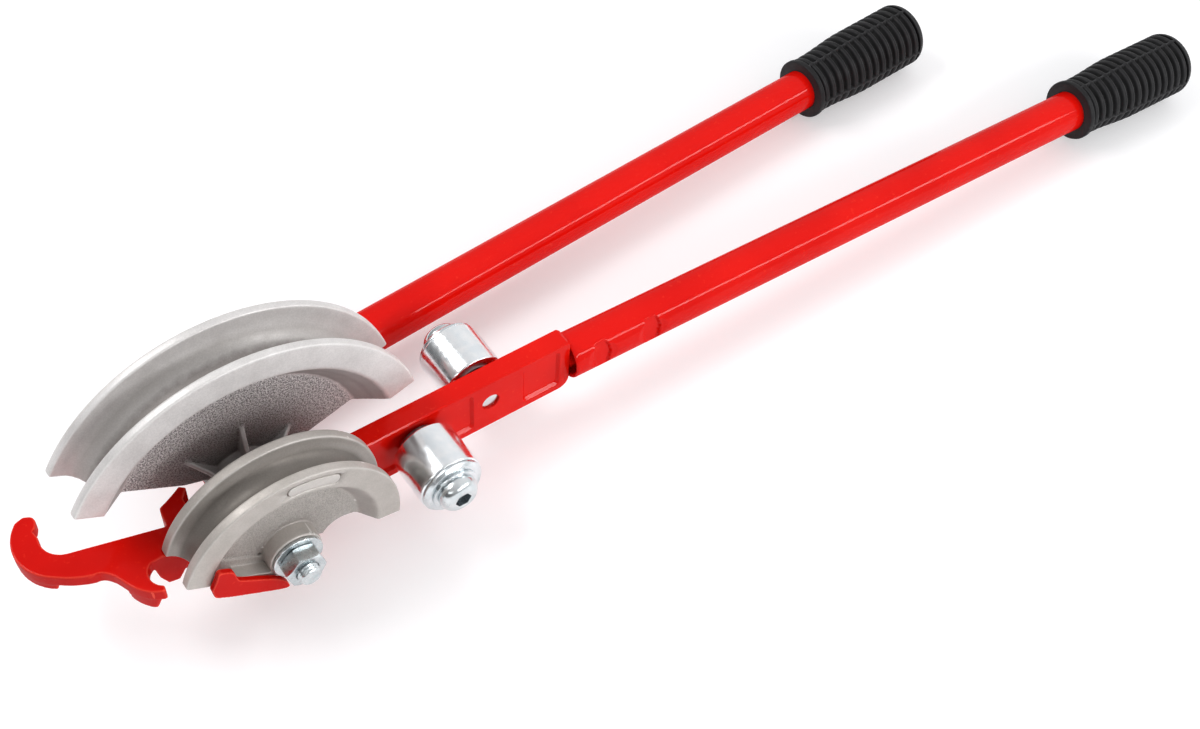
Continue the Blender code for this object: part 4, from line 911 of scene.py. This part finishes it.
def lever_bar():
    half = BAR / 2
    end = BAR_END + 1.2 * MM
    corner = 7.0 * MM
    edge = 0.7 * MM
    outline = [
        (BAR_START, BAR_TOP), (BAR_START, BAR_BOTTOM),
        *arc((end - corner, BAR_BOTTOM + corner), corner, -pi / 2, 0, 12),
        (end, BAR_TOP - OVERRUN), (end - OVERRUN, BAR_TOP),
    ]
    made = edge_bevel(to_object("bar", prism(outline, -half, half)), edge, 1, radians(50))
    for side in (-1, 1):
        for start, stop in PANELS:
            cut(made, panel_tool(start, stop, side))
    tuck = 0.05 * MM
    eye_radius = 16.0 * MM
    eye_bore = 9.1 * MM
    neck_end = 22.0 * MM
    neck_top = (0, 15.5 * MM)
    neck_low = (12.0 * MM, BAR_BOTTOM + tuck)
    neck_back = (-8.75 * MM, -14.0 * MM)
    neck = [neck_top, (neck_end, BAR_TOP - tuck), (neck_end, BAR_BOTTOM + tuck), neck_low, neck_back]
    cut(made, to_object("neck", prism(neck, -tuck, half - tuck)), "UNION")
    eye_far = GAP_FAR - 2 * SEAT
    cut(made, to_object("eye", turned(ring(0, eye_radius, -2 * tuck, eye_far))), "UNION")
    slim = half - edge
    root = -7.0 * MM
    step = 0.4 * MM
    neck_round = SPIGOT - 4.0 * MM
    fit = SPIGOT - SEAT
    tail = SPIGOT - 3.0 * MM
    fit_start, fit_end, cone = 10.0 * MM, 14.0 * MM, 1.0 * MM
    spigot = [
        (0, root), (slim, root), (slim, step), (neck_round, step), (neck_round, fit_start - cone),
        (fit, fit_start), (fit, fit_end), (tail, fit_end + cone), (tail, SPIGOT_LENGTH), (0, SPIGOT_LENGTH),
    ]
    cut(made, to_object("peg", turned(spigot, 64), LEVER_FRAME), "UNION")
    cut(made, drill(eye_bore, 0, eye_far, 64))
    for axle in (NEAR_AXLE, FAR_AXLE):
        cut(made, drill(SCREW_BORE, -half, half, matrix=Matrix.Translation(axle)))
    made.name = "lever_bar_forging"
    placed(made, "lever", "lever_bar", bar_red, radians(32))


def crimp_scale(across, height, place):
    """How much nearer its axis the tube's wall is: two round flats, each in a broad shallow dish."""
    soft = 0.08
    squeeze = 2.8
    scale = 1.0
    turn, lift = cos(CRIMP_FACING), sin(CRIMP_FACING)
    across, height = across * turn + height * lift, height * turn - across * lift
    for centre in CRIMPS:
        along = place - centre
        away = sqrt(height * height + squeeze * along * along) / CRIMP_HALF
        flat = TUBE - CRIMP_DEPTH * eased((1.06 - away) / soft)
        dish = TUBE - DISH_DEPTH * eased((DISH_HALF - abs(along)) / DISH_EASE)
        level = min(flat, dish)
        if across > level:
            scale = min(scale, level / across)
    return scale


def tube(name, node, body, matrix, crimped):
    """A handle tube, with its wall pressed in at the crimps where it has them."""
    inner = TUBE - TUBE_WALL
    fine = 0.6 * MM
    lip, shoulder, recess = 0.6 * MM, 0.2 * MM, 0.9 * MM
    zone_start, zone_steps = 2.0 * MM, 134
    places = [0, 0.25 * MM, fine]
    if crimped:
        places += [zone_start + fine * step for step in range(zone_steps)]
    places += [TUBE_LENGTH * share for share in (0.25, 0.5, 0.75, 1.0)]
    outline = [(TUBE - lip, places[0]), (TUBE - shoulder, places[1])]
    outline += [(TUBE, place) for place in places[2:]]
    outline += [(inner, place) for place in reversed(places[2:])]
    outline += [(TUBE - recess, places[0])]
    shape = turned(outline, TUBE_STEPS)
    if crimped:
        for corner in shape.verts:
            radius = sqrt(corner.co.x ** 2 + corner.co.z ** 2)
            scale = crimp_scale(corner.co.x / radius * TUBE, corner.co.z / radius * TUBE, corner.co.y)
            corner.co.x *= scale
            corner.co.z *= scale
    placed(to_object(name, shape, matrix), body, node, tube_red, radians(50))


def grip(name, node, body, matrix):
    """A moulded grip: broad ribs broken by four seam bands, a rim in front and a closed, rounded end."""
    ribs = 14
    rib_steps = 12
    end_steps = 12
    around = 192
    bore = 12.8 * MM
    collar = 19.0 * MM
    throat = 16.5 * MM
    front_radius, swell = 18.2 * MM, 2.2 * MM
    rim = 3.6 * MM
    end_round = 9.0 * MM
    end_radius = 20.4 * MM
    valley = 2.5 * MM
    least = 0.01 * MM
    seam_half = 0.8 * MM
    seam_soft = 0.16 * MM
    seam_rise = 0.3 * MM
    pitch = (GRIP_LENGTH - rim - end_round) / ribs

    def crest(share):
        return front_radius + swell * eased((share - 0.08) / 0.42)

    def skin(radius, place, depth):
        points = []
        for index in range(around):
            angle = 2 * pi * index / around
            off = abs((angle + radians(45)) % radians(90) - radians(45)) * radius
            band = 1 / (1 + exp((off - seam_half) / seam_soft))
            real = radius - depth * (1 - band) + (seam_rise * band if depth else 0)
            points.append((real * cos(angle), place, real * sin(angle)))
        return points

    front = polygon_rounded(
        [(bore, 0), (collar, 0), (collar, rim), (throat, rim)], [0, 1.2 * MM, 1.0 * MM, 0], 5
    )
    levels = [(bore, TUBE_LENGTH + SEAT, 0), (bore, GRIP_START, 0)]
    levels += [(radius, GRIP_START + place, 0) for radius, place in front[1:-1]]
    for index in range(ribs):
        foot = GRIP_START + rim + pitch * index
        for step in range(rib_steps):
            share = step / rib_steps
            rise = 0.5 - 0.5 * cos(2 * pi * max(0, (share - 0.04) / 0.96) ** 0.9)
            depth = max(least, valley * (1 - eased(rise * 1.2)))
            levels.append((crest((index + share) / ribs), foot + pitch * share, depth))
    low = GRIP_START + GRIP_LENGTH - end_round
    for step in range(end_steps + 1):
        angle = pi / 2 * step / end_steps
        levels.append((end_radius * max(cos(angle), 0) ** 0.75, low + end_round * sin(angle), 0))
    made = to_object(name, lofted([skin(*level) for level in levels]), matrix)
    placed(made, body, node, rubber, radians(60))


# Rollers, screws and the pivot's bolt


def roller_set(name, side, axle, spacer):
    """A roller on its bush, between a spacer and a ring, held by a button screw with its washer."""
    turn = Matrix.Translation(axle)
    if side < 0:
        turn = turn @ Matrix.Rotation(pi, 4, "Z")
    low = BAR / 2 + SEAT
    inner = low + spacer + SEAT
    outer = inner + ROLLER_LENGTH
    ring_low = outer + 2 * SEAT
    ring_high = ring_low + RING_THICK
    washer_low = ring_high + SEAT
    washer_high = washer_low + SCREW_WASHER
    head_low = washer_high + SEAT
    top = head_low + SCREW_HEAD
    far_face = outer + SEAM
    bore = SCREW_BORE
    finest, fine, slight, ease = 0.2 * MM, 0.3 * MM, 0.4 * MM, 0.5 * MM
    spacer_radius = 11.0 * MM
    bush_radius = 8.0 * MM
    washer_radius = 12.8 * MM
    socket_flats, socket_depth = 8.0 * MM, 4.0 * MM

    def ringed(label, outline, rounds, look, body="lever"):
        shape = turned(polygon_rounded(outline, rounds, 5))
        made = to_object(f"{name}_{label}_turned", shape, turn)
        placed(made, body, f"{name}_{label}", look, radians(28))

    sleeve = ring(bore, spacer_radius, low, low + spacer)
    ringed("roller_spacer", sleeve, [0, ease, ease, 0], steel)
    bush = ring(bore, bush_radius, inner, outer + SEAT)
    ringed("roller_bush", bush, [0, slight, slight, 0], steel)
    roller_bore = 8.1 * MM
    roller = 17.5 * MM
    near_ease, far_ease = 0.8 * MM, 0.6 * MM
    ringed(
        "roller", [
            (roller_bore, inner), (roller - ease, inner), (roller, inner + near_ease),
            (roller, outer - far_ease), (roller - ease, far_face), (roller_bore, far_face),
        ],
        [fine, ease, ease, ease, slight, fine], zinc, f"{name}_roller",
    )
    collar = 16.8 * MM
    slope = 1.5 * MM
    ringed(
        "retaining_ring", [
            (bore, ring_low - SEAM), (collar, ring_low - SEAM), (collar, ring_high - slope),
            (collar - slope, ring_high), (bore, ring_high),
        ],
        [0, fine, ease, ease, 0], soft_zinc,
    )
    washer = ring(bore, washer_radius, washer_low - SEAM, washer_high)
    ringed("screw_washer", washer, [0, finest, ease, 0], soft_zinc)

    rim = 1.34 * MM
    flat = 5.44 * MM
    head = 10.6 * MM
    shank = 4.9 * MM
    dome_steps = 14
    dome = [
        (flat + (head - flat) * cos(angle), head_low + rim + (SCREW_HEAD - rim) * sin(angle))
        for angle in [pi / 2 * step / dome_steps for step in range(dome_steps + 1)]
    ]
    end = OVERRUN / 2 - BAR / 2
    foot = head_low - SEAM
    outline = [(0, end), (shank, end), (shank, foot), (head - fine, foot), (head, foot + fine)]
    screw = to_object(f"{name}_button_screw", turned(outline + dome + [(0, top)], 72), turn)
    socket = prism(hexagon(socket_flats), top - socket_depth, top + OVERRUN)
    cut(screw, to_object("socket", socket, turn))
    edge_bevel(screw, finest, 2, radians(50))
    placed(screw, "lever", f"{name}_roller_screw", screw_zinc, radians(28))


def hex_blank(low, high, chamfer_low, chamfer_high):
    """A hexagon bar with its corners turned down to the flats' circle at the ends asked for."""
    across = 19.0 * MM
    chamfer = 2.08 * MM
    flat = across / 2
    wide = flat / cos(pi / 6) + OVERRUN
    outline = [(0, low)]
    outline += [(flat, low), (wide, low + chamfer)] if chamfer_low else [(wide, low)]
    outline += [(wide, high - chamfer), (flat, high)] if chamfer_high else [(wide, high)]
    outline += [(0, high)]
    turn = Matrix.Rotation(radians(14), 4, "Y")
    made = to_object("hex", prism(hexagon(across), low - OVERRUN, high + OVERRUN), turn)
    return cut(made, to_object("turning", turned(outline)), "INTERSECT")


def threaded(low, high, radius, pitch, depth):
    """A rod with a chamfered end and a helical thread that runs off into a plain end."""
    around = 48
    per_turn = 8
    run_in = 1.2 * MM
    run_out = 0.6 * MM
    chamfer = 0.9 * MM
    count = round((high - low) / pitch * per_turn)
    rings = []
    for level in range(count + 1):
        place = low + (high - low) * level / count
        ease = min(1, (place - low) / run_in) * min(1, (high - place) / run_out)
        end = chamfer * max(0, 1 - (place - low) / chamfer)
        points = []
        for index in range(around):
            angle = 2 * pi * index / around
            wave = abs(((place - low) / pitch + index / around) % 1 - 0.5) * 2
            real = radius - depth * wave * ease - end
            points.append((real * cos(angle), place, real * sin(angle)))
        rings.append(points)
    return lofted(rings)


def pivot_stack():
    """The bolt through both formers and both eyes, its bush, its washers and its nut."""
    thick = 1.8 * MM
    washer_radius = 13.2 * MM
    bush_radius = 9.0 * MM
    nut_length = 8.4 * MM
    head_length = 7.5 * MM
    past_nut = 4.2 * MM
    bolt_edge, nut_edge = 0.25 * MM, 0.3 * MM
    washer_far = LARGE_FAR + SEAT
    head_low = washer_far + thick + SEAT
    nut_far = SMALL_NEAR - SEAT - thick - SEAT
    nut_near = nut_far - nut_length
    bolt_near = nut_near - past_nut

    def washer(name, node, low, high):
        ease = 0.6 * MM
        outline = polygon_rounded(ring(BOLT_BORE, washer_radius, low, high), [0, ease, ease, 0], 5)
        placed(to_object(name, turned(outline)), "head", node, dull_shaded_zinc, radians(28))

    washer("nut_washer_turned", "nut_washer", nut_far + SEAT, SMALL_NEAR - SEAT)
    washer("head_washer_turned", "head_washer", washer_far, washer_far + thick)
    bush = turned(ring(BOLT_BORE, bush_radius, GAP_NEAR + SEAT, GAP_FAR - SEAT))
    placed(to_object("pivot_bush_turned", bush), "head", "pivot_bush", steel, radians(28))

    bolt = hex_blank(head_low, head_low + head_length, False, True)
    edge_bevel(bolt, bolt_edge, 2)
    shank = threaded(bolt_near, head_low + OVERRUN / 2, BOLT, pitch=1.75 * MM, depth=0.75 * MM)
    cut(bolt, to_object("shank", shank), "UNION")
    bolt.name = "pivot_bolt_threaded"
    placed(bolt, "head", "pivot_bolt", dull_shaded_zinc, radians(28))

    nut = hex_blank(nut_near, nut_far, True, True)
    cut(nut, drill(BOLT_BORE, nut_near, nut_far))
    edge_bevel(nut, nut_edge, 2)
    nut.name = "pivot_nut_turned"
    placed(nut, "head", "pivot_nut", dull_shaded_zinc, radians(28))


large_former()
small_former()
hook_frame()
lever_bar()
tube("lever_tube_drawn", "lever_tube", "lever", LEVER_FRAME, True)
tube("fixed_tube_drawn", "fixed_tube", "head", FIXED_FRAME, False)
grip("lever_grip_moulded", "lever_grip", "lever", LEVER_FRAME)
grip("fixed_grip_moulded", "fixed_grip", "head", FIXED_FRAME)
roller_set("near", -1, NEAR_AXLE, NEAR_SPACER)
roller_set("far", 1, FAR_AXLE, FAR_SPACER)
pivot_stack()


# Floor, lights and camera


def floor():
    """A pale floor just under the tool. Its light is only for rays from the camera, metal and glass."""
    half = 5.0
    mesh = bpy.data.meshes.new("studio_floor")
    corners = [(-half, -half, -SEAT), (half, -half, -SEAT), (half, half, -SEAT), (-half, half, -SEAT)]
    mesh.from_pydata(corners, [], [(0, 1, 2, 3)])
    made = bpy.data.objects.new("studio_floor", mesh)
    bpy.context.collection.objects.link(made)
    look, tree, shader, place = new_look("pale_floor", Roughness=0.7)
    tint = cloudy(tree, place, 3.0, 3.0, 0.3, 0.7)
    colour = mixed(tree, tint, (0.80, 0.80, 0.81, 1.0), (0.82, 0.82, 0.83, 1.0))
    shader.inputs["Emission Color"].default_value = (1.0, 1.0, 1.0, 1.0)
    ray = add(tree, "LightPath").outputs
    seen = maths(tree, "ADD", ray["Is Camera Ray"], ray["Is Glossy Ray"])
    lift = product(tree, maths(tree, "ADD", seen, ray["Is Transmission Ray"]), 0.24)
    wire(tree, shader, Base_Color=colour, Emission_Strength=lift)
    mesh.materials.append(look)


def soft_light(name, place, aim, size, power):
    lamp = bpy.data.lights.new(name, "AREA")
    lamp.shape = "RECTANGLE"
    lamp.size, lamp.size_y = size
    lamp.energy = power
    made = bpy.data.objects.new(name, lamp)
    made.location = place
    made.rotation_euler = (Vector(aim) - Vector(place)).to_track_quat("-Z", "Y").to_euler()
    bpy.context.collection.objects.link(made)


def world():
    """A soft grey room, brighter towards +X and overhead."""
    sky = bpy.data.worlds.new("studio")
    sky.use_nodes = True
    tree = sky.node_tree
    way = add(tree, "SeparateXYZ", {0: add(tree, "TexCoord").outputs["Generated"]})
    glow = maths(tree, "ADD", product(tree, way.outputs[0], 0.45), 0.45)
    glow = maths(tree, "ADD", product(tree, way.outputs[2], 0.30), glow)
    glow = maths(tree, "MAXIMUM", glow, 0.12)
    tone = add(tree, "CombineColor", {0: glow, 1: glow, 2: product(tree, glow, 1.01)}).outputs[0]
    tree.links.new(tone, tree.nodes["Background"].inputs["Color"])
    bpy.context.scene.world = sky


def camera():
    """The photograph's camera, as a place and three directions measured from the pivot."""
    lens = bpy.data.cameras.new("photo_camera")
    lens.lens = 50.08
    lens.sensor_width = 36.0
    lens.clip_start = 0.01
    made = bpy.data.objects.new("photo_camera", lens)
    right = Vector((0.8191, -0.5717, 0.0482))
    down = Vector((-0.4261, -0.6625, -0.6160))
    ahead = Vector((0.3841, 0.4840, -0.7863))
    aim = Matrix((right, -down, -ahead)).transposed().to_4x4()
    aim.translation = Vector((-0.14915, -0.44395, 0.69109)) + PIVOT
    made.matrix_world = aim
    bpy.context.collection.objects.link(made)
    bpy.context.scene.camera = made


floor()
world()
soft_light("key", place=(-0.72, 0.8, 1.5), aim=(0.25, 0.05, 0), size=(1.1, 0.7), power=17.0)
soft_light("strip", place=(0.80, -1.18, 0.78), aim=(0.25, 0, 0), size=(1.7, 0.16), power=12.0)
soft_light("glint", place=(-1.0, -0.7, 0.8), aim=(0.1, 0, 0.03), size=(0.9, 0.2), power=1.6)
camera()
bpy.context.scene.view_settings.view_transform = "Standard"
